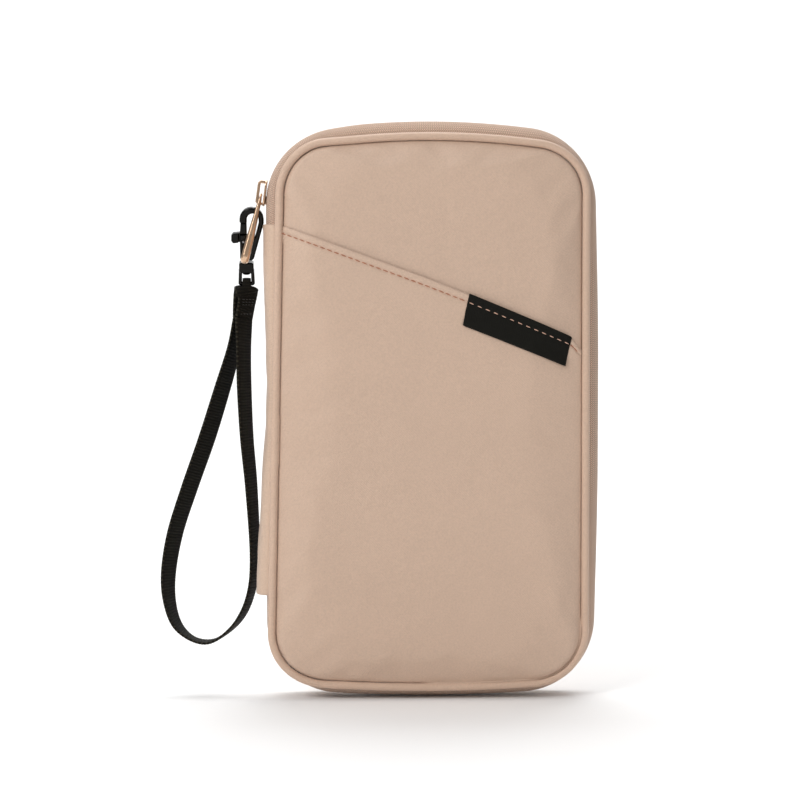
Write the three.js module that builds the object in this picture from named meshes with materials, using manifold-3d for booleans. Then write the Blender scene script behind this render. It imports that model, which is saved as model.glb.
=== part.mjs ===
// Zip-around travel wallet with a padded shell, a slash pocket and a clip-on wrist strap.
// Millimetres, +Z up, front towards -Y. The origin is the middle of the back panel's outer face.
import * as THREE from 'three';
import { mergeVertices } from 'three/addons/utils/BufferGeometryUtils.js';
import Module from 'manifold-3d';

const wasm = await Module();
wasm.setup();

// ---------------------------------------------------------------- driving dimensions
// The shell is a rounded rectangle whose top and bottom edges are bowed outwards.
const SEAM = { halfWidth: 62, halfHeight: 111.2, corner: 21.6, topBow: 320, bottomBow: 640 };
const CREST = { halfWidth: 66.4, halfHeight: 115.8, corner: 30, topBow: 320, bottomBow: 640 };

// Distances of each layer from the middle plane of the shell, inner face and outer face.
const SEAM_PLANE = 10;
const LAYERS = {
  panel: [11.2, 12],
  foam: [8.7, 10.7],
  lining: [7.8, 8.4],
  slashPocket: [12.3, 13],
};
const PANEL_INSET = 1.95;
const FOAM_INSET = 3;
const LINING_INSET = 2.6;
const PIPING_RADIUS = 1.6;

// Zip tapes bulge from the seam (wide apart) to the crest (nearly touching).
const TAPE_THICKNESS = 0.8;
const TAPE_SEAM_PLANE = 8;
const TAPE_EDGE_GAP = 0.3;
const TAPE_END_EDGE_GAP = 1.2;
const COIL_DEPTH = [1.3, 2.5];
const COIL_WIDTH = 1.8;
const COIL_SETBACK = 0.3;

// Stations are counted clockwise round the edge, five to each half, from the middle of the spine.
// The tapes' first and last stretches stay with the spine when the covers open.
const STATION_SPINE_TOP = 0.91;
const STATION_LAST_STRETCH = 2;
const STATION_FIRST_STRETCH = 8.6;
const STATION_SPINE_BOTTOM = 9.12;
const STATION_GAP = 0.006;
const STRETCH_STEPS = [1, 7, 6, 7, 1];
const ZIP_STRETCHES = [
  { part: '_end', from: STATION_SPINE_TOP, to: STATION_LAST_STRETCH - STATION_GAP, gap: TAPE_END_EDGE_GAP },
  {
    part: '',
    from: STATION_LAST_STRETCH + STATION_GAP,
    to: STATION_FIRST_STRETCH - STATION_GAP,
    gap: TAPE_EDGE_GAP,
  },
  { part: '_start', from: STATION_FIRST_STRETCH + STATION_GAP, to: STATION_SPINE_BOTTOM, gap: TAPE_EDGE_GAP },
];

const SPINE_HALF_PLANE = 8;
const SPINE_Z = [-74.4, 75.4];
const SPINE_THICKNESS = 0.8;

// Diagonal opening of the slash pocket: height at the left and right ends.
const SLASH = { left: 75.2, right: 28.5, reach: 62 };
const LABEL = { length: 44, width: 13, corner: 0.6, thickness: 0.5, centreX: 34.1, drop: 6.8 };
const LABEL_GAP = 0.3;

// Inner pockets: top edge height, bottom edge height, distance of the outer face from the middle.
const POCKET_THICKNESS = 0.4;
const POCKET_INSET = 6;
const POCKET_PITCH = 0.65;
const FIRST_POCKET = 7.55;
const CARD_POCKETS = 4;
const CARD_POCKET = { top: 62, step: 16, bottom: -12 };
const NOTE_POCKET = { top: 88, bottom: -104 };
const TICKET_POCKET = { top: 82, bottom: -104 };
const PASSPORT_POCKET = { top: 24, bottom: -103 };

// Slider, on the top-left corner arc of the crest.
const SLIDER_ANGLE = THREE.MathUtils.degToRad(7.85);
const SLIDER = { length: 10.4, width: 8.4, corner: 2.4, outer: [-1.0, -0.35], inner: [3.3, 4.4] };
const SLIDER_POST = { halfWidth: 0.9, z: [-4.4, -1.2] };
const BRIDGE = { foot: -1.3, crown: -4, wall: 1, halfLength: 4.9, halfWidth: 1.2, round: 1 };

// Pull tab, hung on a cross bar under the bridge.
const PULL_PIVOT = new THREE.Vector3(-68.3, -0.7, 87.05);
const PULL_TILT = THREE.MathUtils.degToRad(14.2);
const PULL_LEAN = THREE.MathUtils.degToRad(-5.5);
const PULL = { halfWidth: 3.5, length: 28.6, top: 0.55, neck: 1, foot: 3.2, bevel: 0.8, taper: 1.35 };
const PULL_WINDOW = { halfWidth: 2.45, corner: 0.6, z: [-9.8, -0.5] };

// Hook clasp, leaning back from the place where its ring passes through the pull tab.
const CLASP_TOP = new THREE.Vector3(-72.2, -1.45, 80.9);
const CLASP_LEAN = THREE.MathUtils.degToRad(20.5);
const HOOK = { radius: 4.8, innerRadius: 2.45, innerX: 0.45, ringZ: -3.6, halfDepth: 1.3 };
const BODY = { bottom: -21.1, back: 2.1, right: 0.7, corner: 0.8, bevel: 0.45 };
// Where the ring's opening narrows to a point, left, tip and right.
const OPENING = { rightZ: -5.2, leftZ: -10.6, tip: [-0.5, -12.3], shoulder: [1.4, -10.8] };
const GATE = { top: -5.3, bottom: -14.6, left: -4.8, right: -2, step: 0.5, bevel: 0.25 };
// The gate's inner face steps back at its foot. Its thumb lever stands out to the left.
const GATE_STEP_Z = [-9.7, -10.9];
const LEVER = [[-7.6, -13.8], [-8.4, -12.8], [-8.3, -10.5], [-7.6, -9.6]];
const LEVER_ROOT_Z = [-13.5, -9.3];
const GATE_PIN = { x: -3.4, z: -13.2, radius: 0.5 };
const GATE_SLOT = { y: [-0.4, 1.2], z: [-15, -10.4] };
const GATE_GAP = 0.3;
const SPRING = { x: -2.9, z: [-18.1, -15.3], radius: 0.85, bore: 0.45 };
const SWIVEL = {
  x: -2.4, y: 0.4, z: [-26.4, -22.2], halfWidth: 2.9, halfDepth: 1.9, corner: 0.7, bevel: 0.3,
};
const RIVET = { radius: 0.9, head: 1.6, z: [-27.3, -18.6], headHeight: 0.6 };
const LOOP = {
  bar: 1.3, barZ: -31.5, topHalf: 3.1, bottomHalf: 3.3, halfDepth: 0.75, corner: 0.6, root: 1.2,
};
// Longer than any piece of the clasp, for tools that cut right through.
const THROUGH = 4;

// Wrist strap: flat webbing sewn back on itself round the bar of the swivel loop.
const WEBBING = { width: 10, thickness: 1.2 };
const FOLD = {
  eye: 1.15, bottom: 38, eyeHalf: 1.65, neckHalf: 4.2, halfDepth: 1.45,
  eyeTop: 6, eyeFoot: 0.2, neckFoot: -1.2, shoulderFoot: -3.4, layersTop: -2.6,
};
// Middle line of the loop from the back layer of the fold round to the front layer,
// each with the turn of the webbing's width away from +X, in degrees.
const STRAP_ROUTE = [
  [-76.8, 10, 37.2, 50],
  [-79.7, 8.6, 25.2, 58],
  [-84.3, 8, 9.6, 52],
  [-90.8, 7.6, -11.2, 49],
  [-98, 7.2, -31.6, 50],
  [-103.9, 6.8, -50, 53],
  [-106.7, 6.5, -66.4, 58],
  [-106.2, 6.5, -78.8, 66],
  [-102.8, 6.5, -88.4, 74],
  [-95.6, 6.5, -94.2, 87],
  [-87.4, 6.4, -94, 80],
  [-78.2, 6.2, -86.2, 73],
  [-73, 6, -74.4, 73],
  [-71.5, 5.6, -58.4, 70],
  [-72.8, 5.4, -31.6, 64],
  [-74.6, 5.4, -11.2, 61],
  [-75.6, 5.6, 9.6, 58],
  [-75.8, 6.2, 25.2, 57],
  [-75.8, 7.9, 37.2, 50],
];
const STRAP_STEPS = 44;

// ---------------------------------------------------------------- materials
const material = (color, roughness, metalness = 0) =>
  new THREE.MeshStandardMaterial({ color, roughness, metalness });
const SHELL = () => material(0xcdb299, 0.55);
const SPINE_FABRIC = () => material(0xd6bfaa, 0.55);
const ZIP_TAPE = () => material(0xd9bca8, 0.85);
const COIL_PLASTIC = () => material(0xd2b49c, 0.45);
const LINING_FABRIC = () => material(0xb9a08a, 0.8);
const FOAM = () => material(0xe6e2da, 0.95);
const LABEL_WEAVE = () => material(0x1a1914, 0.75);
const ROSE_METAL = () => material(0xcdb096, 0.3, 1);
const BLACK_METAL = () => material(0x14120f, 0.25, 0.7);
const STEEL = () => material(0xb4b4b4, 0.35, 1);
const BLACK_WEBBING = () => material(0x1c1913, 0.85);

// ---------------------------------------------------------------- solids
function toSolid(geometry) {
  const plain = geometry.index ? geometry.toNonIndexed() : geometry.clone();
  plain.deleteAttribute('normal');
  plain.deleteAttribute('uv');
  const merged = mergeVertices(plain, 1e-5);
  return new wasm.Manifold(new wasm.Mesh({
    numProp: 3,
    vertProperties: new Float32Array(merged.attributes.position.array),
    triVerts: new Uint32Array(merged.index.array),
  }));
}

function toGeometry(solid) {
  const mesh = solid.getMesh();
  const geometry = new THREE.BufferGeometry();
  geometry.setAttribute('position', new THREE.BufferAttribute(mesh.vertProperties, 3));
  geometry.setIndex(new THREE.BufferAttribute(mesh.triVerts, 1));
  return geometry;
}

function cut(geometry, ...tools) {
  return toGeometry(tools.reduce((solid, tool) => solid.subtract(toSolid(tool)), toSolid(geometry)));
}

function join(geometry, ...others) {
  return toGeometry(others.reduce((solid, other) => solid.add(toSolid(other)), toSolid(geometry)));
}

function common(geometry, other) {
  return toGeometry(toSolid(geometry).intersect(toSolid(other)));
}

// A closed body through rings of equal size. Each end is closed by rungs from a ring's
// first half to its second half, so a ring lists one side and then the other, backwards.
function loft(rings, endless = false) {
  const size = rings[0].length;
  const spans = endless ? rings.length : rings.length - 1;
  const faces = [];
  for (let ring = 0; ring < spans; ring += 1) {
    const here = ring * size;
    const next = ((ring + 1) % rings.length) * size;
    for (let side = 0; side < size; side += 1) {
      const across = (side + 1) % size;
      faces.push([here + side, next + side, next + across]);
      faces.push([here + side, next + across, here + across]);
    }
  }
  const last = (rings.length - 1) * size;
  for (let rung = 0; rung < size / 2 - 1 && !endless; rung += 1) {
    const [a, b, c, d] = [rung, rung + 1, size - 2 - rung, size - 1 - rung];
    faces.push([a, b, c], [a, c, d]);
    faces.push([last + a, last + c, last + b], [last + a, last + d, last + c]);
  }
  return facesOutwards(rings.flat(), faces);
}

function facesOutwards(points, faces) {
  const volume = faces.reduce((sum, [a, b, c]) =>
    sum + points[a].dot(new THREE.Vector3().crossVectors(points[b], points[c])), 0);
  const order = volume < 0 ? faces.map(([a, b, c]) => [a, c, b]) : faces;
  const geometry = new THREE.BufferGeometry().setFromPoints(points);
  geometry.setIndex(order.flat());
  return geometry;
}

// A flat piece with an outline in X and Z, from yLow to yHigh, with chamfered edges if asked.
function plate(shape, yLow, yHigh, bevel = 0) {
  const geometry = new THREE.ExtrudeGeometry(shape, {
    depth: yHigh - yLow - 2 * bevel,
    steps: 1,
    curveSegments: 5,
    bevelEnabled: bevel > 0,
    bevelThickness: bevel,
    bevelSize: bevel,
    bevelOffset: -bevel,
    bevelSegments: 1,
  });
  return geometry.rotateX(Math.PI / 2).translate(0, yHigh - bevel, 0);
}

// A flat piece with an outline in Y and Z, its thickness along X and centred on X = 0.
function sidePlate(shape, thickness, bevel) {
  const geometry = plate(shape, -thickness / 2, thickness / 2, bevel);
  return geometry.rotateZ(-Math.PI / 2);
}

function box(x, y, z) {
  const geometry = new THREE.BoxGeometry(x[1] - x[0], y[1] - y[0], z[1] - z[0]);
  return geometry.translate((x[0] + x[1]) / 2, (y[0] + y[1]) / 2, (z[0] + z[1]) / 2);
}

// A round bar along Z or along Y.
function barZ(radius, z, x = 0, y = 0, sides = 12) {
  const geometry = new THREE.CylinderGeometry(radius, radius, z[1] - z[0], sides);
  return geometry.rotateX(Math.PI / 2).translate(x, y, (z[0] + z[1]) / 2);
}

function barY(radius, y, x, z, sides = 12) {
  const geometry = new THREE.CylinderGeometry(radius, radius, y[1] - y[0], sides);
  return geometry.translate(x, (y[0] + y[1]) / 2, z);
}

function outline(points) {
  return new THREE.Shape(points.map(([x, z]) => new THREE.Vector2(x, z)));
}

function roundedRectangle(halfX, halfZ, corner) {
  const shape = new THREE.Shape();
  shape.absarc(halfX - corner, halfZ - corner, corner, 0, Math.PI / 2);
  shape.absarc(corner - halfX, halfZ - corner, corner, Math.PI / 2, Math.PI);
  shape.absarc(corner - halfX, corner - halfZ, corner, Math.PI, 1.5 * Math.PI);
  shape.absarc(halfX - corner, corner - halfZ, corner, 1.5 * Math.PI, 2 * Math.PI);
  return shape;
}

// ---------------------------------------------------------------- the shell's edge
function inset(edge, distance) {
  return Object.fromEntries(Object.entries(edge).map(([key, value]) => [key, value - distance]));
}

// The corner arc's centre, and the angle at which the corner arc runs into the bowed edge.
function cornerOf(edge, bow) {
  const across = edge.halfWidth - edge.corner;
  const bowCentre = edge.halfHeight - bow;
  const up = bowCentre + Math.sqrt((bow - edge.corner) ** 2 - across ** 2);
  return { across, bowCentre, up, meet: Math.atan2(up - bowCentre, across) };
}

function onArc(x, z, radius, angle) {
  return [x + radius * Math.cos(angle), z + radius * Math.sin(angle)];
}

// The point of an edge at a station: side, corner, bow, corner, side for the upper half,
// then the same again, turned half round, for the lower half.
function edgePoint(edge, station) {
  const half = Math.floor(station / 5) % 2;
  const along = station % 5;
  const bow = half === 0 ? edge.topBow : edge.bottomBow;
  const { across, bowCentre, up, meet } = cornerOf(edge, bow);
  let point;
  if (along <= 1) {
    point = [-edge.halfWidth, along * up];
  } else if (along <= 2) {
    point = onArc(-across, up, edge.corner, Math.PI - (along - 1) * meet);
  } else if (along <= 3) {
    point = onArc(0, bowCentre, bow, Math.PI - meet - (along - 2) * (Math.PI - 2 * meet));
  } else if (along <= 4) {
    point = onArc(across, up, edge.corner, (4 - along) * meet);
  } else {
    point = [edge.halfWidth, (5 - along) * up];
  }
  const turn = half === 0 ? 1 : -1;
  return new THREE.Vector2(point[0] * turn, point[1] * turn);
}

function stationsBetween(from, to) {
  const grid = [0, 5].flatMap((half) => STRETCH_STEPS.flatMap((steps, stretch) =>
    Array.from({ length: steps }, (_, step) => half + stretch + step / steps)));
  const inside = grid.filter((station) => station > from + 0.01 && station < to - 0.01);
  return [from, ...inside, to];
}

function edgeShape(edge) {
  return new THREE.Shape(stationsBetween(0, 10).slice(0, -1).map((s) => edgePoint(edge, s)));
}

// side is -1 for the front cover and +1 for the back cover.
function layer(edge, [inner, outer], side) {
  const [low, high] = side < 0 ? [-outer, -inner] : [inner, outer];
  return plate(edgeShape(edge), low, high);
}

// The part of a layer between a top edge, which may slope, and a bottom edge.
function layerBelow(edge, span, side, topLeft, topRight, bottom = -SEAM.halfHeight - 1) {
  const reach = SLASH.reach;
  const window = outline([[-reach, bottom], [reach, bottom], [reach, topRight], [-reach, topLeft]]);
  return common(layer(edge, span, side), plate(window, -SEAM.halfWidth, SEAM.halfWidth));
}

function piping(side) {
  const sides = 8;
  const rings = stationsBetween(0, 10).slice(0, -1).map((station) => {
    const ring = [];
    for (let corner = 0; corner < sides; corner += 1) {
      const angle = ((corner + 0.5) * 2 * Math.PI) / sides;
      const point = edgePoint(inset(SEAM, PIPING_RADIUS * Math.cos(angle)), station);
      const y = side * SEAM_PLANE + PIPING_RADIUS * Math.sin(angle);
      ring.push(new THREE.Vector3(point.x, y, point.y));
    }
    return ring;
  });
  return loft(rings, true);
}

// One section of the tape: a quarter of an ellipse from the seam out to the crest.
function tapeRing(station, side, edgeGap) {
  const seam = edgePoint(SEAM, station);
  const crest = edgePoint(CREST, station);
  const bulge = crest.clone().sub(seam);
  const steps = 4;
  const wall = (thickness) => Array.from({ length: steps + 1 }, (_, step) => {
    const angle = (step / steps) * (Math.PI / 2);
    const out = Math.sin(angle) * (1 - thickness / bulge.length());
    const y = edgeGap + (TAPE_SEAM_PLANE - thickness - edgeGap) * Math.cos(angle);
    return new THREE.Vector3(seam.x + bulge.x * out, side * y, seam.y + bulge.y * out);
  });
  return [...wall(0), ...wall(TAPE_THICKNESS).reverse()];
}

function zipTape(side, from, to, edgeGap) {
  return loft(stationsBetween(from, to).map((station) => tapeRing(station, side, edgeGap)));
}

function zipCoil(side, from, to, edgeGap) {
  const near = edgeGap + COIL_SETBACK;
  const far = near + COIL_WIDTH;
  const [shallow, deep] = COIL_DEPTH;
  return loft(stationsBetween(from, to).map((station) => {
    const crest = edgePoint(CREST, station);
    const inwards = edgePoint(SEAM, station).sub(crest).normalize();
    return [[shallow, near], [deep, near], [deep, far], [shallow, far]].map(([depth, y]) =>
      new THREE.Vector3(crest.x + inwards.x * depth, side * y, crest.y + inwards.y * depth));
  }));
}

// ---------------------------------------------------------------- pieces
const wallet = new THREE.Group();
wallet.position.y = -LAYERS.panel[1];

function add(name, geometry, surface, parent = wallet) {
  const mesh = new THREE.Mesh(geometry, surface);
  mesh.name = name;
  parent.add(mesh);
}

function addCover(name, side) {
  add(`${name}_panel`, layer(inset(SEAM, PANEL_INSET), LAYERS.panel, side), SHELL());
  add(`${name}_foam`, layer(inset(SEAM, FOAM_INSET), LAYERS.foam, side), FOAM());
  add(`${name}_lining`, layer(inset(SEAM, LINING_INSET), LAYERS.lining, side), LINING_FABRIC());
  add(`${name}_piping`, piping(side), SHELL());
  for (const { part, from, to, gap } of ZIP_STRETCHES) {
    add(`${name}_zip_tape${part}`, zipTape(side, from, to, gap), ZIP_TAPE());
    add(`${name}_zip_coil${part}`, zipCoil(side, from, to, gap), COIL_PLASTIC());
  }
}

// Inner pockets lie one on another, each nearer to the middle than the one before.
function addPocket(name, side, level, { top, bottom }) {
  const outer = FIRST_POCKET - level * POCKET_PITCH;
  const span = [outer - POCKET_THICKNESS, outer];
  add(name, layerBelow(inset(SEAM, POCKET_INSET), span, side, top, top, bottom), LINING_FABRIC());
}

function addFrontPockets() {
  addPocket('note_pocket', -1, 0, NOTE_POCKET);
  for (let card = 0; card < CARD_POCKETS; card += 1) {
    const top = CARD_POCKET.top - card * CARD_POCKET.step;
    addPocket(`card_pocket_${card + 1}`, -1, card + 1, { top, bottom: CARD_POCKET.bottom });
  }
}

function addBackPockets() {
  addPocket('ticket_pocket', 1, 0, TICKET_POCKET);
  addPocket('passport_pocket', 1, 1, PASSPORT_POCKET);
}

function addSlashPocket() {
  const pocket = layerBelow(inset(SEAM, PANEL_INSET), LAYERS.slashPocket, -1, SLASH.left, SLASH.right);
  add('front_slash_pocket', pocket, SHELL());
  const slope = (SLASH.right - SLASH.left) / (2 * SLASH.reach);
  const edgeZ = SLASH.left + slope * (LABEL.centreX + SLASH.reach);
  const label = roundedRectangle(LABEL.length / 2, LABEL.width / 2, LABEL.corner);
  const front = -LAYERS.slashPocket[1] - LABEL_GAP;
  const geometry = plate(label, front - LABEL.thickness, front);
  geometry.rotateY(-Math.atan(slope));
  geometry.translate(LABEL.centreX, 0, edgeZ - LABEL.drop);
  add('pocket_label', geometry, LABEL_WEAVE());
}

// The spine is half an ellipse in section, the same all the way up.
function addSpine() {
  const steps = 8;
  const bulge = CREST.halfWidth - SEAM.halfWidth;
  const wall = (thickness, z) => Array.from({ length: steps + 1 }, (_, step) => {
    const angle = (step / steps - 0.5) * Math.PI;
    const x = -SEAM.halfWidth - (bulge - thickness) * Math.cos(angle);
    return new THREE.Vector3(x, (SPINE_HALF_PLANE - thickness) * Math.sin(angle), z);
  });
  const ring = (z) => [...wall(0, z), ...wall(SPINE_THICKNESS, z).reverse()];
  add('spine_cover', loft(SPINE_Z.map(ring)), SPINE_FABRIC());
  const linerX = [-SEAM.halfWidth + 0.9, -SEAM.halfWidth + 1.5];
  add('spine_lining', box(linerX, [-7, 7], SPINE_Z), LINING_FABRIC());
}

function addSlider() {
  const { across, up } = cornerOf(CREST, CREST.topBow);
  const turn = new THREE.Group();
  turn.position.set(-across, 0, up);
  turn.rotation.y = SLIDER_ANGLE;
  const slider = new THREE.Group();
  slider.position.x = -CREST.corner;
  turn.add(slider);
  wallet.add(turn);

  const wing = roundedRectangle(SLIDER.width / 2, SLIDER.length / 2, SLIDER.corner);
  const wingAt = ([low, high]) => sidePlate(wing, high - low, 0).translate((low + high) / 2, 0, 0);
  const post = box([SLIDER.outer[0], SLIDER.inner[1]],
    [-SLIDER_POST.halfWidth, SLIDER_POST.halfWidth], SLIDER_POST.z);
  add('zip_slider', join(wingAt(SLIDER.outer), wingAt(SLIDER.inner), post), ROSE_METAL(), slider);

  const { foot, crown, wall, halfLength, halfWidth, round } = BRIDGE;
  const inner = halfLength - wall;
  const arch = outline([
    [foot, -halfLength], [crown + round, -halfLength], [crown, round - halfLength],
    [crown, halfLength - round], [crown + round, halfLength], [foot, halfLength],
    [foot, inner], [crown + wall, inner], [crown + wall, -inner], [foot, -inner],
  ]);
  add('slider_bridge', plate(arch, -halfWidth, halfWidth), ROSE_METAL(), slider);
}

// The tab grows thicker towards its free end.
function addPullTab() {
  const pull = new THREE.Group();
  pull.position.copy(PULL_PIVOT);
  pull.rotation.set(PULL_LEAN, PULL_TILT, 0, 'YXZ');
  wallet.add(pull);

  const { halfWidth, length, top, neck, foot, bevel } = PULL;
  const middle = (top - length) / 2;
  const face = roundedRectangle(halfWidth, (top + length) / 2, halfWidth - 0.4);
  const windowLength = PULL_WINDOW.z[1] - PULL_WINDOW.z[0];
  const window = roundedRectangle(PULL_WINDOW.halfWidth, windowLength / 2, PULL_WINDOW.corner);
  const hole = sidePlate(window, 2 * foot, 0);
  hole.translate(0, 0, (PULL_WINDOW.z[0] + PULL_WINDOW.z[1]) / 2);
  const slab = sidePlate(face, foot, bevel).translate(0, 0, middle);
  const solid = cut(toGeometry(toSolid(slab).refine(3)), hole);
  const places = solid.attributes.position;
  for (let index = 0; index < places.count; index += 1) {
    const along = THREE.MathUtils.clamp(-places.getZ(index) / length, 0, 1);
    const thickness = neck + (foot - neck) * Math.min(1, along * PULL.taper);
    places.setX(index, (places.getX(index) * thickness) / foot);
  }
  add('pull_tab', solid, ROSE_METAL(), pull);
}

function hookShape() {
  const { radius, innerRadius, innerX, ringZ } = HOOK;
  const { bottom, right, corner } = BODY;
  const { rightZ, leftZ, tip, shoulder } = OPENING;
  const shape = new THREE.Shape();
  shape.moveTo(-radius, bottom + corner);
  shape.lineTo(-radius, ringZ);
  shape.absarc(0, ringZ, radius, Math.PI, 0, true);
  shape.lineTo(radius, rightZ);
  shape.lineTo(right, bottom + corner);
  shape.lineTo(right - corner, bottom);
  shape.lineTo(corner - radius, bottom);
  const opening = new THREE.Path();
  opening.moveTo(innerX + innerRadius, ringZ);
  opening.absarc(innerX, ringZ, innerRadius, 0, Math.PI, false);
  opening.lineTo(innerX - innerRadius, leftZ);
  opening.lineTo(...tip);
  opening.lineTo(...shoulder);
  opening.lineTo(innerX + innerRadius, rightZ);
  shape.holes.push(opening);
  return shape;
}

function gateShape() {
  const { top, bottom, left, right, step } = GATE;
  const [leverLow, leverHigh] = LEVER_ROOT_Z;
  return outline([
    [left + GATE_GAP, top], [right, top],
    [right, GATE_STEP_Z[0]], [right - step, GATE_STEP_Z[1]],
    [right - step, bottom], [left + step, bottom],
    [left, bottom + step], [left, leverLow], ...LEVER, [left, leverHigh],
  ]);
}

// The body behind the ring is thicker towards the back. A slot takes the gate, its pin and
// its spring, and a bore takes the swivel's rivet.
function claspHook() {
  const depth = HOOK.halfDepth;
  const through = [-THROUGH, THROUGH];
  const arm = [GATE.left - 1, GATE.right + GATE_GAP];
  const lowerHalf = box([-2 * THROUGH, 2 * THROUGH], through, [2 * BODY.bottom, GATE_SLOT.z[1]]);
  return cut(
    join(
      plate(hookShape(), -depth, depth, BODY.bevel),
      common(plate(hookShape(), -depth, BODY.back, BODY.bevel), lowerHalf),
    ),
    box(arm, through, [GATE_SLOT.z[1], GATE.top + GATE_GAP]),
    box(arm, GATE_SLOT.y, GATE_SLOT.z),
    barY(GATE_PIN.radius + GATE_GAP, through, GATE_PIN.x, GATE_PIN.z),
    barZ(SPRING.radius + GATE_GAP, [SPRING.z[0] - GATE_GAP, GATE_SLOT.z[0] + 0.1], SPRING.x, SWIVEL.y),
    barZ(RIVET.radius + GATE_GAP, [2 * BODY.bottom, RIVET.z[1] + 0.2], SWIVEL.x, SWIVEL.y),
  );
}

// The gate's foot is a tongue that stands in the slot of the body.
function claspGate() {
  const sideTop = GATE_SLOT.z[1] + 2.5 * GATE_GAP;
  const tongue = [GATE_SLOT.y[0] + GATE_GAP, GATE_SLOT.y[1] - GATE_GAP];
  const across = [GATE.left - 0.7, 0];
  return cut(
    plate(gateShape(), -HOOK.halfDepth, HOOK.halfDepth, GATE.bevel),
    box(across, [-THROUGH, tongue[0]], [BODY.bottom, sideTop]),
    box(across, [tongue[1], THROUGH], [BODY.bottom, sideTop]),
    barY(GATE_PIN.radius + GATE_GAP, [-THROUGH, THROUGH], GATE_PIN.x, GATE_PIN.z),
  );
}

function addClasp() {
  const clasp = new THREE.Group();
  clasp.position.copy(CLASP_TOP);
  clasp.rotation.x = CLASP_LEAN;
  wallet.add(clasp);

  add('clasp_hook', claspHook(), BLACK_METAL(), clasp);
  add('clasp_gate', claspGate(), BLACK_METAL(), clasp);
  const pinEnds = [GATE_GAP / 2 - HOOK.halfDepth, BODY.back - GATE_GAP / 2];
  add('gate_pin', barY(GATE_PIN.radius, pinEnds, GATE_PIN.x, GATE_PIN.z), STEEL(), clasp);
  const { x, z, radius, bore } = SPRING;
  const spring = cut(barZ(radius, z, x, SWIVEL.y), barZ(bore, [z[0] - 1, z[1] + 1], x, SWIVEL.y));
  add('gate_spring', spring, STEEL(), clasp);
  add('swivel_loop', swivelLoop(), BLACK_METAL(), clasp);
  add('swivel_rivet', swivelRivet(), BLACK_METAL(), clasp);
}

// A block with a frame hanging from it. The rivet's shank and head stand in its bore.
function swivelLoop() {
  const { x, y, z, halfWidth, halfDepth, corner, bevel } = SWIVEL;
  const { bar, barZ: low, topHalf, bottomHalf, root } = LOOP;
  const block = plate(roundedRectangle(halfWidth, (z[1] - z[0]) / 2, corner), -halfDepth, halfDepth, bevel);
  block.translate(x, y, (z[0] + z[1]) / 2);
  const frame = outline([
    [x - topHalf, z[0] + root], [x - topHalf, z[0]],
    [x - bottomHalf, low], [x - bottomHalf + LOOP.corner, low - bar / 2],
    [x + bottomHalf - LOOP.corner, low - bar / 2], [x + bottomHalf, low],
    [x + topHalf, z[0]], [x + topHalf, z[0] + root],
  ]);
  const inside = new THREE.Path([
    [x - topHalf + bar, z[0]], [x - bottomHalf + bar, low + bar / 2],
    [x + bottomHalf - bar, low + bar / 2], [x + topHalf - bar, z[0]],
  ].map(([px, pz]) => new THREE.Vector2(px, pz)));
  frame.holes.push(inside);
  const loop = plate(frame, y - LOOP.halfDepth, y + LOOP.halfDepth, bevel);
  const bore = barZ(RIVET.radius + GATE_GAP, [z[0] - 0.1, z[1] + 1], x, y);
  const headTop = RIVET.z[0] + RIVET.headHeight;
  const headRoom = barZ(RIVET.head + GATE_GAP, [RIVET.z[0] - 0.2, headTop + GATE_GAP], x, y);
  return cut(join(block, loop), bore, headRoom);
}

function swivelRivet() {
  const { x, y } = SWIVEL;
  const shank = barZ(RIVET.radius, [RIVET.z[0] + 0.1, RIVET.z[1]], x, y);
  const head = barZ(RIVET.head, [RIVET.z[0], RIVET.z[0] + RIVET.headHeight], x, y, 14);
  return join(shank, head);
}

// Where the loop's bar lies once the clasp leans back.
function loopBarPlace() {
  const place = new THREE.Vector3(SWIVEL.x, SWIVEL.y, LOOP.barZ);
  return place.applyAxisAngle(new THREE.Vector3(1, 0, 0), CLASP_LEAN).add(CLASP_TOP);
}

// The sewn fold hangs from the bar: an eye round the bar, then two layers, widening to the
// full width of the webbing.
function addStrapFold() {
  const place = loopBarPlace();
  const { eye, eyeHalf, neckHalf, halfDepth, eyeTop, eyeFoot, neckFoot, shoulderFoot } = FOLD;
  const outer = eye + WEBBING.thickness;
  const bottom = FOLD.bottom - place.z;
  const profile = new THREE.Shape();
  profile.moveTo(-halfDepth, bottom);
  profile.lineTo(-halfDepth, FOLD.layersTop);
  profile.absarc(0, 0, outer, Math.PI * 1.2, -Math.PI * 0.2, true);
  profile.lineTo(halfDepth, FOLD.layersTop);
  profile.lineTo(halfDepth, bottom);
  const hole = new THREE.Path();
  hole.absarc(0, 0, eye, 0, Math.PI * 2, false);
  profile.holes.push(hole);
  const fold = sidePlate(profile, WEBBING.width, 0);
  const sideCuts = [-1, 1].map((side) => {
    const far = side * WEBBING.width;
    const wedge = outline([
      [side * eyeHalf, eyeTop], [side * eyeHalf, eyeFoot], [side * neckHalf, neckFoot],
      [far / 2, shoulderFoot], [far, shoulderFoot], [far, eyeTop],
    ]);
    return plate(wedge, -2 * THROUGH, 2 * THROUGH);
  });
  const geometry = cut(fold, ...sideCuts);
  add('strap_fold', geometry.translate(place.x, place.y, place.z), BLACK_WEBBING());
}

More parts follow.
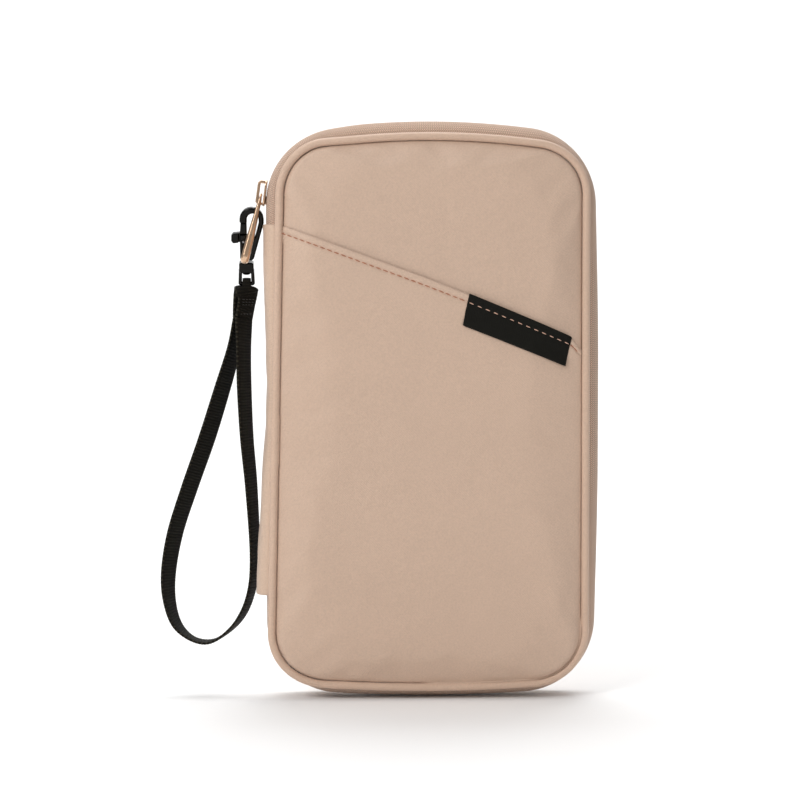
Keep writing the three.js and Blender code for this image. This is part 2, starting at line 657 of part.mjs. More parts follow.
function addWristStrap() {
  const route = new THREE.CatmullRomCurve3(STRAP_ROUTE.map(([x, y, z]) => new THREE.Vector3(x, y, z)));
  const turns = new THREE.CatmullRomCurve3(STRAP_ROUTE.map((row) => new THREE.Vector3(row[3], 0, 0)));
  const rings = [];
  for (let step = 0; step <= STRAP_STEPS; step += 1) {
    const t = step / STRAP_STEPS;
    const middle = route.getPoint(t);
    const along = route.getTangent(t);
    const turn = THREE.MathUtils.degToRad(turns.getPoint(t).x);
    const width = new THREE.Vector3(Math.cos(turn), Math.sin(turn), 0);
    width.addScaledVector(along, -width.dot(along)).normalize();
    const face = new THREE.Vector3().crossVectors(along, width);
    rings.push([[-1, -1], [1, -1], [1, 1], [-1, 1]].map(([w, f]) => middle.clone()
      .addScaledVector(width, (w * WEBBING.width) / 2)
      .addScaledVector(face, (f * WEBBING.thickness) / 2)));
  }
  add('wrist_strap', loft(rings), BLACK_WEBBING());
}

addCover('back', 1);
addCover('front', -1);
addBackPockets();
addFrontPockets();
addSlashPocket();
addSpine();
addSlider();
addPullTab();
addClasp();
addStrapFold();
addWristStrap();

export default wallet;
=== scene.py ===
"""Looks of the zip-around travel wallet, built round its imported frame. Metres, +Z up, front towards -Y."""
from collections import namedtuple
from math import atan2, copysign, cos, exp, pi, radians, sin, sqrt

import bmesh
import bpy
import numpy as np
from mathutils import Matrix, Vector, noise
from mathutils.bvhtree import BVHTree


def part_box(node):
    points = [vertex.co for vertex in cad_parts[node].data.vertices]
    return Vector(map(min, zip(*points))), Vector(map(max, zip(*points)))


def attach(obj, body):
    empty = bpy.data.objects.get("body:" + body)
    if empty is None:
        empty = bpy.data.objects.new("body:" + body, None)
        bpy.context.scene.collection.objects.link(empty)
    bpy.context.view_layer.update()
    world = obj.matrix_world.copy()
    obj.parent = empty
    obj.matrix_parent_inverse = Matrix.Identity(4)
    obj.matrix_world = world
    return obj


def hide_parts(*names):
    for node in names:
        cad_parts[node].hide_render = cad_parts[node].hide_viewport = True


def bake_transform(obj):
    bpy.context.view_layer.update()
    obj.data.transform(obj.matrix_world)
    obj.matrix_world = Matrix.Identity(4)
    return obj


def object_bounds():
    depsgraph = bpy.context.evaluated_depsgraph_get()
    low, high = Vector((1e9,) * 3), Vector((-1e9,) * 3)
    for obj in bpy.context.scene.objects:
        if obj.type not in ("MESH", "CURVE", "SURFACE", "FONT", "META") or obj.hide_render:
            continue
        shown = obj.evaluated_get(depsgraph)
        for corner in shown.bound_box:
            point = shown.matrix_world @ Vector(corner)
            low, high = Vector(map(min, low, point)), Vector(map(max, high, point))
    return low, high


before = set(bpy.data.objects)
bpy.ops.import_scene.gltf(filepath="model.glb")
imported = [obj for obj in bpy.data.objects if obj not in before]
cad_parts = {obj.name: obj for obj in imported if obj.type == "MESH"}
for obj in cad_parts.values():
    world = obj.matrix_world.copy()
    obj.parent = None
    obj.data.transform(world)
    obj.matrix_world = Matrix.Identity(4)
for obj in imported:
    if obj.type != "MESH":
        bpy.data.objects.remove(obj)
cad_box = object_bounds()

# ---------------------------------------------------------------- driving sizes
MM = 0.001
FRONT, BACK = -1, 1
COVERS = {"front": FRONT, "back": BACK}


def mm(*sizes):
    return tuple(size * MM for size in sizes)


# The shell's seam line and the zip's crest: rounded rectangles with bowed top and bottom edges.
Edge = namedtuple("Edge", "half_width half_height corner top_bow bottom_bow")
SEAM = Edge(*mm(62, 111.2, 21.6, 320, 640))
CREST = Edge(*mm(66.4, 115.8, 30, 320, 640))


def middle_y(node):
    low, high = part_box(node)
    return (low.y + high.y) / 2


PIPING_Y = {side: middle_y(f"{name}_piping") for name, side in COVERS.items()}
MIDDLE_Y = (PIPING_Y[FRONT] + PIPING_Y[BACK]) / 2
PIPING_RADIUS = 1.6 * MM

# Heights are distances from the middle plane of the shell.
PANEL_INSET = 1.45 * MM
PANEL_RIM, PANEL_FULL, PANEL_ROLL = mm(8.9, 12.7, 1.2)
PANEL_THICKNESS = 0.7 * MM
CLOTH_CAP, CLOTH_STEPS = 2.2 * MM, 20
TAPE_SEAM, TAPE_THICKNESS = mm(8, 0.7)
ZIP_STATIONS = (0.855, 9.17)
ZIP_GAP, ZIP_END_GAP = mm(0.25, 1.2)
SPINE_LOW, SPINE_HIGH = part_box("spine_cover")
SPINE_HALF = 9.2 * MM

# The slash pocket's opening: its straight line, its sag to the right, its hem and stitch line.
SLASH_LEFT = Vector(mm(-62, 0, 75.2))
SLASH_RIGHT = Vector(mm(62, 0, 30))
SLASH_SAG, SLASH_END_SAG = mm(2.7, 3)
HEM_WIDTH, STITCH_DROP = mm(2.4, 2.9)
HEM_ROWS = [0, 0.3, 0.7, 1.3, 1.9, 2.2, 2.5, 2.9, 3.3, 3.7, 4.4, 5.6]
LABEL_HALF, LABEL_TOP, LABEL_BOTTOM = mm(22.1, 0.6, -12.6)
LABEL_MIDDLE, LABEL_SKEW = 103.5 * MM, 0.15

POCKET_THICKNESS, LABEL_THICKNESS = mm(0.4, 0.32)

# The inner pockets' bound top edge: its depth, and rows of points through it.
BINDING_DEPTH = 2.9 * MM
BINDING_ROWS = np.array([0.4, 1.6, 2.9, 3.3, 4]) * MM
POCKET_INSET = 6 * MM
FOAM_INSET, FOAM_MIDDLE, FOAM_HALF = mm(3, 9.6, 1.1)
LINING_INSET, LINING_HEIGHT, LINING_THICKNESS = mm(1.2, 7.9, 0.45)
SPINE_THICKNESS, SPINE_LINING_HALF = mm(0.75, 6)

# One pitch of the zip's coil, in points, and how the coil stands on the tape's edge.
COIL_PITCH, COIL_POINTS, COIL_SIDES = 1.25 * MM, 10, 5
COIL_DEPTH, COIL_HALF_DEPTH, COIL_HALF_WIDTH, COIL_WIRE = mm(1.9, 0.6, 1.0, 0.26)
COIL_OFFSET = 0.75 * MM

# The piping's ends lie in a sleeve of the same cloth, this far along from its end.
SLEEVE_START, SLEEVE_END, SLEEVE_SWELL = 1.2 * MM, 22.4 * MM, 0.15

WEBBING_WIDTH, WEBBING_THICKNESS, RIB_PITCH = mm(10, 1.2, 1.2)
# Middle line of the wrist loop from the back layer of its sewn fold round to the front layer,
# with the turn of the webbing's width away from +X, in degrees. The CAD follows the same points.
STRAP_ROUTE = [
    (-0.0768, -0.0020, 0.0372, 50),
    (-0.0797, -0.0034, 0.0252, 58),
    (-0.0843, -0.0040, 0.0096, 52),
    (-0.0908, -0.0044, -0.0112, 49),
    (-0.0980, -0.0048, -0.0316, 50),
    (-0.1039, -0.0052, -0.0500, 53),
    (-0.1067, -0.0055, -0.0664, 58),
    (-0.1062, -0.0055, -0.0788, 66),
    (-0.1028, -0.0055, -0.0884, 74),
    (-0.0956, -0.0055, -0.0942, 87),
    (-0.0874, -0.0056, -0.0940, 80),
    (-0.0782, -0.0058, -0.0862, 73),
    (-0.0730, -0.0060, -0.0744, 73),
    (-0.0715, -0.0064, -0.0584, 70),
    (-0.0728, -0.0066, -0.0316, 64),
    (-0.0746, -0.0066, -0.0112, 61),
    (-0.0756, -0.0064, 0.0096, 58),
    (-0.0758, -0.0058, 0.0252, 57),
    (-0.0758, -0.0041, 0.0372, 50),
]

FRAME_CENTRE = Vector(mm(-12.8, -24, 4.8))
FRAME_WIDTH = 0.320
CAMERA_AZIMUTH, CAMERA_ELEVATION = radians(-2), radians(2.5)
LENS, SENSOR = 100, 36

# Area lights: name, place, what it points at, size and power.
WORLD_STRENGTH = 0.33
STUDIO_LIGHTS = [
    ("key", (-0.8, -0.9, 0.75), (0, 0, 0), 0.6, 9),
    ("fill", (0.9, -1.1, 0.2), (0, 0, 0), 1.0, 1.1),
    ("top", (-0.1, -0.1, 1.2), (0, 0, 0), 0.9, 3.7),
    ("back", (0.2, 0.6, 0.7), (0, 0, 0), 0.6, 1),
    ("backdrop", (0, 0.9, 1.9), (0, 2.2, 0.2), 1.6, 38),
]
# The floor lies just under the object and turns up into a wall behind it, all in metres.
FLOOR_DROP, FLOOR_HALF, FLOOR_FRONT, FLOOR_REACH = 0.3 * MM, 4, -4.0, 1.6
SWEEP_RADIUS, WALL_TOP = 0.8, 4


# ---------------------------------------------------------------- node materials
def linear(red, green, blue):
    def channel(value):
        share = value / 255
        return share / 12.92 if share <= 0.04045 else ((share + 0.055) / 1.055) ** 2.4
    return (channel(red), channel(green), channel(blue), 1.0)


def shade(colour, factor):
    return tuple(min(1.0, part * factor) for part in colour[:3]) + (1.0,)


class Surface:
    """A Principled material and short calls for the nodes in front of it."""

    def __init__(self, name, colour, roughness, **sockets):
        self.material = bpy.data.materials.new(name)
        self.material.use_nodes = True
        self.tree = self.material.node_tree
        self.shader = self.tree.nodes["Principled BSDF"]
        self.colour = colour
        self.shader.inputs["Base Color"].default_value = colour
        self.shader.inputs["Roughness"].default_value = roughness
        for socket, value in sockets.items():
            self.shader.inputs[socket.replace("_", " ")].default_value = value

    def node(self, kind, **settings):
        made = self.tree.nodes.new("ShaderNode" + kind)
        for key, value in settings.items():
            setattr(made, key, value)
        return made

    def feed(self, socket, value):
        if isinstance(value, bpy.types.NodeSocket):
            self.tree.links.new(value, socket)
        else:
            socket.default_value = value

    def math(self, operation, *values):
        made = self.node("Math", operation=operation)
        for socket, value in zip(made.inputs, values):
            self.feed(socket, value)
        return made.outputs[0]

    def place(self):
        return self.node("TexCoord").outputs["Object"]

    def lay(self):
        """Distance along and across a strip, in metres."""
        split = self.node("SeparateXYZ")
        self.feed(split.inputs[0], self.node("Attribute", attribute_name="lay").outputs["Vector"])
        return split.outputs["X"], split.outputs["Y"]

    def noise(self, size, detail=2.0, vector=None):
        """Noise from 0 to 1 with features of about this size in metres."""
        made = self.node("TexNoise")
        self.feed(made.inputs["Vector"], vector or self.place())
        made.inputs["Scale"].default_value = 1 / size
        made.inputs["Detail"].default_value = detail
        return made.outputs["Fac"]

    def ridges(self, phase, pitch):
        """A wave from 0 to 1 with one ridge to each pitch."""
        turn = self.math("MULTIPLY", phase, 2 * pi / pitch)
        return self.math("MULTIPLY_ADD", self.math("SINE", turn), 0.5, 0.5)

    def diagonal(self, direction):
        made = self.node("VectorMath", operation="DOT_PRODUCT")
        self.feed(made.inputs[0], self.place())
        made.inputs[1].default_value = Vector(direction).normalized()
        return made.outputs["Value"]

    def mixed(self, factor, low, high):
        made = self.node("Mix", data_type="RGBA")
        self.feed(made.inputs["Factor"], factor)
        self.feed(made.inputs["A"], low)
        self.feed(made.inputs["B"], high)
        return made.outputs["Result"]

    def tinted(self, factor, low, high):
        """The surface's own colour, from low times itself to high times itself."""
        return self.mixed(factor, shade(self.colour, low), shade(self.colour, high))

    def coloured(self, result):
        self.feed(self.shader.inputs["Base Color"], result)

    def rough(self, factor, low, high):
        self.feed(self.shader.inputs["Roughness"], self.math("MULTIPLY_ADD", factor, high - low, low))

    def bumps(self, *layers):
        """Each layer is a height from 0 to 1 and its depth in metres."""
        normal = None
        for height, depth in layers:
            bump = self.node("Bump")
            bump.inputs["Strength"].default_value = 1.0
            bump.inputs["Distance"].default_value = depth
            self.feed(bump.inputs["Height"], height)
            if normal:
                self.feed(bump.inputs["Normal"], normal)
            normal = bump.outputs["Normal"]
        self.feed(self.shader.inputs["Normal"], normal)


def satin_fabric(name, colour, twill=0.42 * MM):
    """Satin twill: fine diagonal ribs, a crossing thread, grain, broad shading and sheen."""
    surface = Surface(name, colour, 0.5, Sheen_Weight=0.3, Sheen_Roughness=0.45, Specular_IOR_Level=0.38)
    ribs = surface.ridges(surface.diagonal((1, 0.8, 1)), twill)
    cross = surface.ridges(surface.diagonal((1, 0.8, -1.2)), 2.2 * twill)
    grain = surface.noise(0.7 * MM, 3)
    broad = surface.noise(26 * MM, 3)
    speckled = surface.tinted(grain, 0.72, 1.25)
    shaded = surface.tinted(broad, 0.9, 1.06)
    surface.coloured(surface.mixed(0.45, speckled, shaded))
    surface.rough(surface.noise(5 * MM), 0.44, 0.58)
    surface.bumps((surface.noise(14 * MM, 3), 0.5 * MM), (ribs, 0.04 * MM), (cross, 0.02 * MM),
                  (grain, 0.07 * MM))
    return surface.material


def lining_cloth(name, colour):
    """Plain-woven lining: threads both ways, with a slub here and there."""
    surface = Surface(name, colour, 0.75, Sheen_Weight=0.15, Sheen_Roughness=0.5)
    warp = surface.ridges(surface.diagonal((1, 0.2, 0)), 0.5 * MM)
    weft = surface.ridges(surface.diagonal((0, 0.2, 1)), 0.5 * MM)
    slub = surface.noise(2.5 * MM, 4)
    threads = surface.math("MULTIPLY", warp, weft)
    woven = surface.math("MULTIPLY_ADD", slub, 0.6, surface.math("MULTIPLY", threads, 0.4))
    surface.coloured(surface.tinted(woven, 0.84, 1.1))
    surface.rough(slub, 0.68, 0.84)
    surface.bumps((surface.noise(9 * MM, 2), 0.25 * MM), (threads, 0.05 * MM), (slub, 0.06 * MM))
    return surface.material


def zip_knit(name, colour):
    """Knitted zip tape: chevron columns along the tape."""
    surface = Surface(name, colour, 0.82, Sheen_Weight=0.15, Sheen_Roughness=0.5)
    along, across = surface.lay()
    column = surface.math("PINGPONG", across, 0.55 * MM)
    chevron = surface.ridges(surface.math("MULTIPLY_ADD", column, 1.1, along), 0.85 * MM)
    groove = surface.math("MULTIPLY", column, 1 / (0.55 * MM))
    knit = surface.math("MULTIPLY", chevron, surface.math("MULTIPLY_ADD", groove, 0.6, 0.4))
    surface.coloured(surface.tinted(knit, 0.46, 1.32))
    surface.rough(knit, 0.88, 0.74)
    surface.bumps((knit, 0.3 * MM), (surface.noise(0.5 * MM, 2), 0.08 * MM))
    return surface.material


def nylon(name, colour):
    surface = Surface(name, colour, 0.4, Specular_IOR_Level=0.5, Subsurface_Weight=0.05)
    surface.shader.inputs["Subsurface Scale"].default_value = 0.4 * MM
    mottle = surface.noise(1.2 * MM, 2)
    surface.coloured(surface.tinted(mottle, 0.9, 1.08))
    surface.rough(mottle, 0.34, 0.5)
    surface.bumps((surface.noise(0.4 * MM, 2), 0.02 * MM))
    return surface.material


def black_webbing(name, colour):
    """Ribbed nylon webbing: ribs across, fine columns of yarn along, and painted highlights on the loops at
    its edges.
    """
    surface = Surface(name, colour, 0.78, Sheen_Weight=0.02, Specular_IOR_Level=0.1)
    along, across = surface.lay()
    ribs = surface.ridges(along, RIB_PITCH)
    yarns = surface.ridges(across, 0.8 * MM)
    weave = surface.math("MULTIPLY", ribs, surface.math("MULTIPLY_ADD", yarns, 0.5, 0.5))
    fluff = surface.noise(0.6 * MM, 3)
    woven = surface.math("MULTIPLY_ADD", weave, 0.7, surface.math("MULTIPLY", fluff, 0.3))
    body = surface.tinted(woven, 0.5, 1.8)
    edge = surface.math("GREATER_THAN", surface.math("ABSOLUTE", across), 0.43 * WEBBING_WIDTH)
    # Painted highlight: bright loops along the selvedges, lightened to five times the webbing's colour.
    painted_glints = surface.math("POWER", surface.ridges(along, 1.9 * MM), 3)
    surface.coloured(surface.mixed(surface.math("MULTIPLY", edge, painted_glints), body, shade(colour, 5)))
    surface.rough(fluff, 0.66, 0.86)
    surface.bumps((weave, 0.16 * MM), (fluff, 0.05 * MM))
    return surface.material


def label_satin(name, colour):
    surface = Surface(name, colour, 0.62, Sheen_Weight=0.02, Specular_IOR_Level=0.1)
    along, across = surface.lay()
    picks = surface.ridges(across, 0.4 * MM)
    warp = surface.ridges(along, 0.7 * MM)
    weave = surface.math("MULTIPLY", picks, surface.math("MULTIPLY_ADD", warp, 0.4, 0.6))
    fluff = surface.noise(1.5 * MM, 3)
    woven = surface.math("MULTIPLY_ADD", weave, 0.5, surface.math("MULTIPLY", fluff, 0.5))
    surface.coloured(surface.tinted(woven, 0.7, 1.5))
    surface.rough(fluff, 0.55, 0.7)
    surface.bumps((weave, 0.07 * MM), (fluff, 0.08 * MM))
    return surface.material


def thread(name, colour):
    surface = Surface(name, colour, 0.6, Sheen_Weight=0.3)
    twist = surface.ridges(surface.diagonal((1, 0.4, 0.3)), 0.3 * MM)
    surface.coloured(surface.tinted(twist, 0.72, 1.15))
    surface.rough(twist, 0.7, 0.5)
    surface.bumps((twist, 0.04 * MM))
    return surface.material


def plated_metal(name, colour, low, high, grain, **sockets):
    """Plated metal: faint lengthwise polishing lines and uneven gloss."""
    surface = Surface(name, colour, low, Metallic=1.0, **sockets)
    brushed = surface.node("Mapping")
    brushed.inputs["Scale"].default_value = (1, 1, 0.12)
    surface.feed(brushed.inputs["Vector"], surface.place())
    lines = surface.noise(0.25 * MM, 3, brushed.outputs[0])
    smear = surface.noise(4 * MM, 3)
    surface.coloured(surface.tinted(smear, 0.86, 1.1))
    surface.rough(surface.math("MULTIPLY_ADD", lines, 0.5, surface.math("MULTIPLY", smear, 0.5)), low, high)
    surface.bumps((lines, grain))
    return surface.material


def open_foam(name, colour):
    surface = Surface(name, colour, 0.95)
    cells = surface.node("TexVoronoi")
    surface.feed(cells.inputs["Vector"], surface.place())
    cells.inputs["Scale"].default_value = 1 / (0.9 * MM)
    surface.coloured(surface.tinted(cells.outputs["Distance"], 0.8, 1))
    surface.bumps((cells.outputs["Distance"], 0.2 * MM))
    return surface.material


def studio_white(name, colour):
    surface = Surface(name, colour, 0.9)
    surface.coloured(surface.tinted(surface.noise(0.2, 1), 0.995, 1))
    return surface.material


SHELL_COLOUR = linear(204, 176, 155)
SHELL = satin_fabric("shell satin", SHELL_COLOUR)
SPINE_FABRIC = satin_fabric("spine satin", linear(208, 180, 158))
PIPING_FABRIC = satin_fabric("piping satin", linear(207, 177, 155))
LINING = lining_cloth("lining cloth", linear(190, 165, 145))
BINDING = satin_fabric("binding satin", linear(196, 163, 141))
TAPE = zip_knit("zip tape knit", linear(226, 191, 167))
COIL = nylon("coil nylon", linear(214, 182, 160))
LABEL = label_satin("label satin", linear(21, 20, 16))
WEBBING = black_webbing("strap webbing", linear(21, 19, 14))
THREAD = thread("rose thread", linear(176, 116, 86))
PALE_THREAD = thread("pale rose thread", linear(228, 182, 156))
DARK_THREAD = thread("dark thread", linear(34, 32, 28))
ROSE = plated_metal("rose gold", linear(216, 182, 152), 0.2, 0.38, 0.01 * MM)
BLACK = plated_metal("black plated metal", linear(15, 13, 10), 0.12, 0.26, 0.008 * MM,
                     Coat_Weight=0.28, Coat_Roughness=0.05)
STEEL = plated_metal("spring steel", linear(176, 176, 180), 0.22, 0.4, 0.01 * MM)
FOAM = open_foam("open foam", linear(232, 228, 218))


# ---------------------------------------------------------------- meshes
def placed(name, data):
    """A new object, linked into the scene."""
    thing = bpy.data.objects.new(name, data)
    bpy.context.scene.collection.objects.link(thing)
    return thing


def hand_over(piece, body, nodes):
    """Makes a piece move with a body and stand in for CAD nodes."""
    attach(piece, body)
    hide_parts(*nodes)


def mark_lay(mesh, lay):
    """Gives each point its distance along and across the strip it is on."""
    places = np.zeros((len(mesh.vertices), 3), np.float32)
    places[:, :2] = lay
    mesh.attributes.new("lay", "FLOAT_VECTOR", "POINT").data.foreach_set("vector", places.ravel())


def quads(rows, columns):
    """Faces over a grid of points, this many faces each way."""
    wide = columns + 1
    corners = [row * wide + column for row in range(rows) for column in range(columns)]
    return [(corner, corner + 1, corner + wide + 1, corner + wide) for corner in corners]


def shape(name, points, faces, *materials, lay=None, slots=None, subdivide=0):
    mesh = bpy.data.meshes.new(name)
    mesh.from_pydata([tuple(point) for point in points], [], faces)
    if lay is not None:
        mark_lay(mesh, lay)
    for material in materials:
        mesh.materials.append(material)
    if slots is not None:
        mesh.polygons.foreach_set("material_index", slots)
    work = bmesh.new()
    work.from_mesh(mesh)
    bmesh.ops.recalc_face_normals(work, faces=work.faces)
    work.to_mesh(mesh)
    work.free()
    mesh.polygons.foreach_set("use_smooth", [True] * len(mesh.polygons))
    thing = placed(name, mesh)
    if subdivide:
        thing.modifiers.new("finer", "SUBSURF").render_levels = subdivide
        thing.modifiers["finer"].levels = subdivide
    return thing


def tube_faces(count, size, start=0, closed=False):
    """Faces of a tube of equal rings of points, capped unless it closes on itself."""
    faces = []
    for ring in range(count if closed else count - 1):
        here, there = start + ring * size, start + (ring + 1) % count * size
        for side in range(size):
            after = (side + 1) % size
            faces.append((here + side, here + after, there + after, there + side))
    if not closed:
        faces.append(tuple(start + side for side in range(size)))
        faces.append(tuple(start + (count - 1) * size + side for side in reversed(range(size))))
    return faces


def sweep(name, rings, material, closed=False, lay=None, subdivide=0):
    """A tube or strip through rings of equal size, capped unless it closes on itself."""
    rings = np.array(rings)
    faces = tube_faces(*rings.shape[:2], closed=closed)
    flat_lay = None if lay is None else np.array(lay).reshape(-1, 2)
    return shape(name, rings.reshape(-1, 3), faces, material, lay=flat_lay, subdivide=subdivide)


def strip(name, sections, material, closed=False):
    """A tube or strip through sections, each a list of points with their places in its lay."""
    rings = [[point for point, _ in section] for section in sections]
    lay = [[mark for _, mark in section] for section in sections]
    return sweep(name, rings, material, closed=closed, lay=lay)


def closed_sheet(name, outer, inner, faces, *materials, slots=None, subdivide=1):
    """A thin body between an outer face and an inner face of the same mesh, joined at their rims."""
    count = len(outer)
    sides = {(a, b) for face in faces for a, b in zip(face, face[1:] + face[:1])}
    rim = sorted((a, b) for a, b in sides if (b, a) not in sides)
    back = [tuple(count + corner for corner in reversed(face)) for face in faces]
    wall = [(b, a, count + a, count + b) for a, b in rim]
    if slots is not None:
        slots = list(slots) * 2 + [0] * len(wall)
    return shape(name, np.concatenate([outer, inner]), faces + back + wall, *materials,
                 slots=slots, subdivide=subdivide)


def fade(low, high, value):
    share = np.clip((np.asarray(value, float) - low) / (high - low), 0, 1)
    return share * share * (3 - 2 * share)


def soft_noise(x, z, size, seed=0.0):
    return np.array([noise.noise((a / size, seed, b / size)) for a, b in zip(np.ravel(x), np.ravel(z))])


# ---------------------------------------------------------------- the shell's edge
def inset(edge, distance):
    return Edge(*(value - distance for value in edge))


def edge_point(edge, station):
    """Stations run clockwise from the middle of the spine, five to each half of the edge."""
    half, along = divmod(station % 10, 5)
    bow = edge.bottom_bow if half else edge.top_bow
    across = edge.half_width - edge.corner
    bow_centre = edge.half_height - bow
    up = bow_centre + sqrt((bow - edge.corner) ** 2 - across ** 2)
    meet = atan2(up - bow_centre, across)
    if along <= 1:
        x, z = -edge.half_width, along * up
    elif along <= 2:
        turn = pi - (along - 1) * meet
        x, z = -across + edge.corner * cos(turn), up + edge.corner * sin(turn)
    elif along <= 3:
        turn = pi - meet - (along - 2) * (pi - 2 * meet)
        x, z = bow * cos(turn), bow_centre + bow * sin(turn)
    elif along <= 4:
        turn = (4 - along) * meet
        x, z = across + edge.corner * cos(turn), up + edge.corner * sin(turn)
    else:
        x, z = edge.half_width, (5 - along) * up
    return (-x, -z) if half else (x, z)


def seam_point(station, distance=0.0):
    """A point of the seam line, or inside it by a distance. The spine side leans in at the top."""
    x, z = edge_point(inset(SEAM, distance), station)
    spine_side = fade(-30 * MM, -60 * MM, x)
    top = fade(88 * MM, 111 * MM, z)
    return x + spine_side * spine_lean(z), z - 1.1 * MM * top * (1 - spine_side)


def spine_lean(z):
    return 0.02 * z - 0.56 * MM


def crest_point(station):
    """A point of the zip's crest, which swells out along the top and the right side."""
    x, z = edge_point(CREST, station)
    right = fade(10 * MM, 60 * MM, x) * fade(120 * MM, 20 * MM, abs(z))
    top = fade(70 * MM, 112 * MM, z) * fade(-52 * MM, -25 * MM, x)
    return x + 1.7 * MM * right, z + 0.9 * MM * top


def spaced_stations(line, start, end, count=None, step=None):
    """Stations an equal distance apart along a line, and how far each is from the first."""
    fine = np.linspace(start, end, 3000)
    points = np.array([line(station) for station in fine])
    run = np.concatenate([[0], np.cumsum(np.linalg.norm(np.diff(points, axis=0), axis=1))])
    count = count or round(run[-1] / step)
    distances = np.linspace(0, run[-1], count + 1)
    return np.interp(distances, run, fine), distances


def edge_frame(line, station):
    """A line's point, and the outward direction there, both in X and Z."""
    before, after = np.array(line(station - 0.002)), np.array(line(station + 0.002))
    along = (after - before) / np.linalg.norm(after - before)
    return np.array(line(station)), np.array([-along[1], along[0]])


CORE_HALF = (40 * MM, 90 * MM)
GRID_STEP, GRID_RINGS, RING_CROWDING = 2.5 * MM, 12, 1.7
RING_REACH = 21.5 * MM


def cover_grid(distance):
    """Quads over the shell inside its seam by a distance: a core grid, then rings out to the rim.
    Also gives each point's distance from the rim."""
    def rim_line(station):
        return seam_point(station, distance)

    columns, rows = (round(2 * half / GRID_STEP) for half in CORE_HALF)
    places = [(x, z) for z in np.linspace(-CORE_HALF[1], CORE_HALF[1], rows + 1)
              for x in np.linspace(-CORE_HALF[0], CORE_HALF[0], columns + 1)]

    def at(column, row):
        return row * (columns + 1) + column

    faces = quads(rows, columns)
    rim = [at(c, rows) for c in range(columns)] + [at(columns, rows - r) for r in range(rows)]
    rim += [at(columns - c, 0) for c in range(columns)] + [at(0, r) for r in range(rows)]
    sides = [(1.5, 3.5, columns), (3.5, 6.5, rows), (6.5, 8.5, columns), (8.5, 11.5, rows)]
    stations = np.concatenate([spaced_stations(rim_line, a, b, count=n)[0][:-1] for a, b, n in sides])
    outer = np.array([rim_line(station) for station in stations])
    inner = np.array([places[corner] for corner in rim])
    gaps = [RING_REACH] * len(places)
    for ring in range(1, GRID_RINGS + 1):
        left = (1 - ring / GRID_RINGS) ** RING_CROWDING
        current = list(range(len(places), len(places) + len(rim)))
        places += [tuple(place) for place in outer + (inner - outer) * left]
        gaps += [left * RING_REACH] * len(rim)
        for here in range(len(rim)):
            after = (here + 1) % len(rim)
            faces.append((rim[here], rim[after], current[after], current[here]))
        rim = current
    return np.array(places), faces, np.array(gaps)


def lifted(places, height, side):
    """Points at a height above the middle plane, on one side of it."""
    return np.column_stack([places[:, 0], MIDDLE_Y + side * height, places[:, 1]])


# ---------------------------------------------------------------- cloth simulation
def inflate(points, faces, pinned, cap):
    """Lets a cloth held along its rim swell over its padding, and gives where each point ends.
    No point moves further than the cap."""
    thing = shape("swelling cloth", points, faces, SHELL)
    group = thing.vertex_groups.new(name="rim")
    group.add([int(index) for index in pinned], 1.0, "ADD")
    settings = thing.modifiers.new("cloth", "CLOTH").settings
    settings.quality = 6
    settings.mass = 0.15
    settings.tension_stiffness = settings.compression_stiffness = 12
    settings.bending_stiffness = 0.6
    settings.vertex_group_mass = "rim"
    settings.use_pressure = True
    settings.uniform_pressure_force = 4
    settings.shrink_min = -0.004
    settings.effector_weights.gravity = 0
    scene = bpy.context.scene
    for step in range(1, CLOTH_STEPS + 1):
        scene.frame_set(step)
    shown = thing.evaluated_get(bpy.context.evaluated_depsgraph_get())
    swollen = np.array([vertex.co for vertex in shown.data.vertices])
    bpy.data.objects.remove(thing)
    scene.frame_set(1)
    move = swollen - points
    length = np.linalg.norm(move, axis=1)[:, None]
    return points + move * np.minimum(1, cap / np.maximum(length, 1e-9))


def pillow_height(gap):
    return PANEL_FULL - (PANEL_FULL - PANEL_RIM) * np.exp(-gap / PANEL_ROLL)


def panel_surface(side, places, faces, gaps):
    """The outer face of a padded panel: rolled in at the piping, swollen over the foam."""
    outward = faces if side == FRONT else [tuple(reversed(face)) for face in faces]
    start = lifted(places, pillow_height(gaps), side)
    final = inflate(start, outward, np.flatnonzero(gaps < 0.8 * MM), CLOTH_CAP)
    pucker = soft_noise(places[:, 0], places[:, 1], 5 * MM, 3.1 + side) * np.exp(-gaps / (4 * MM))
    drape = soft_noise(places[:, 0], places[:, 1], 34 * MM, 7.7 + side) * (1 - np.exp(-gaps / (9 * MM)))
    final[:, 1] += side * (0.16 * MM * pucker + 0.3 * MM * drape)
    return final


def surface_finder(points, faces, side):
    """A function giving the height of a surface over the middle plane at X and Z."""
    tree = BVHTree.FromPolygons([tuple(point) for point in points], faces)

    def find(x, z):
        hit = tree.ray_cast(Vector((x, side * 0.1, z)), Vector((0, -side, 0)))[0]
        if hit is None:
            hit = tree.find_nearest(Vector((x, MIDDLE_Y + side * PANEL_FULL, z)))[0]
        return side * (hit.y - MIDDLE_Y)
    return find


# ---------------------------------------------------------------- camera, floor, lights
def add_camera():
    data = bpy.data.cameras.new("camera")
    data.lens, data.sensor_width = LENS, SENSOR
    data.clip_start = 0.01
    camera = placed("camera", data)
    flat = cos(CAMERA_ELEVATION)
    back = Vector((sin(CAMERA_AZIMUTH) * flat, -cos(CAMERA_AZIMUTH) * flat,
                   sin(CAMERA_ELEVATION)))
    camera.location = FRAME_CENTRE + back * (FRAME_WIDTH * LENS / SENSOR)
    camera.rotation_euler = (-back).to_track_quat("-Z", "Y").to_euler()
    bpy.context.scene.camera = camera


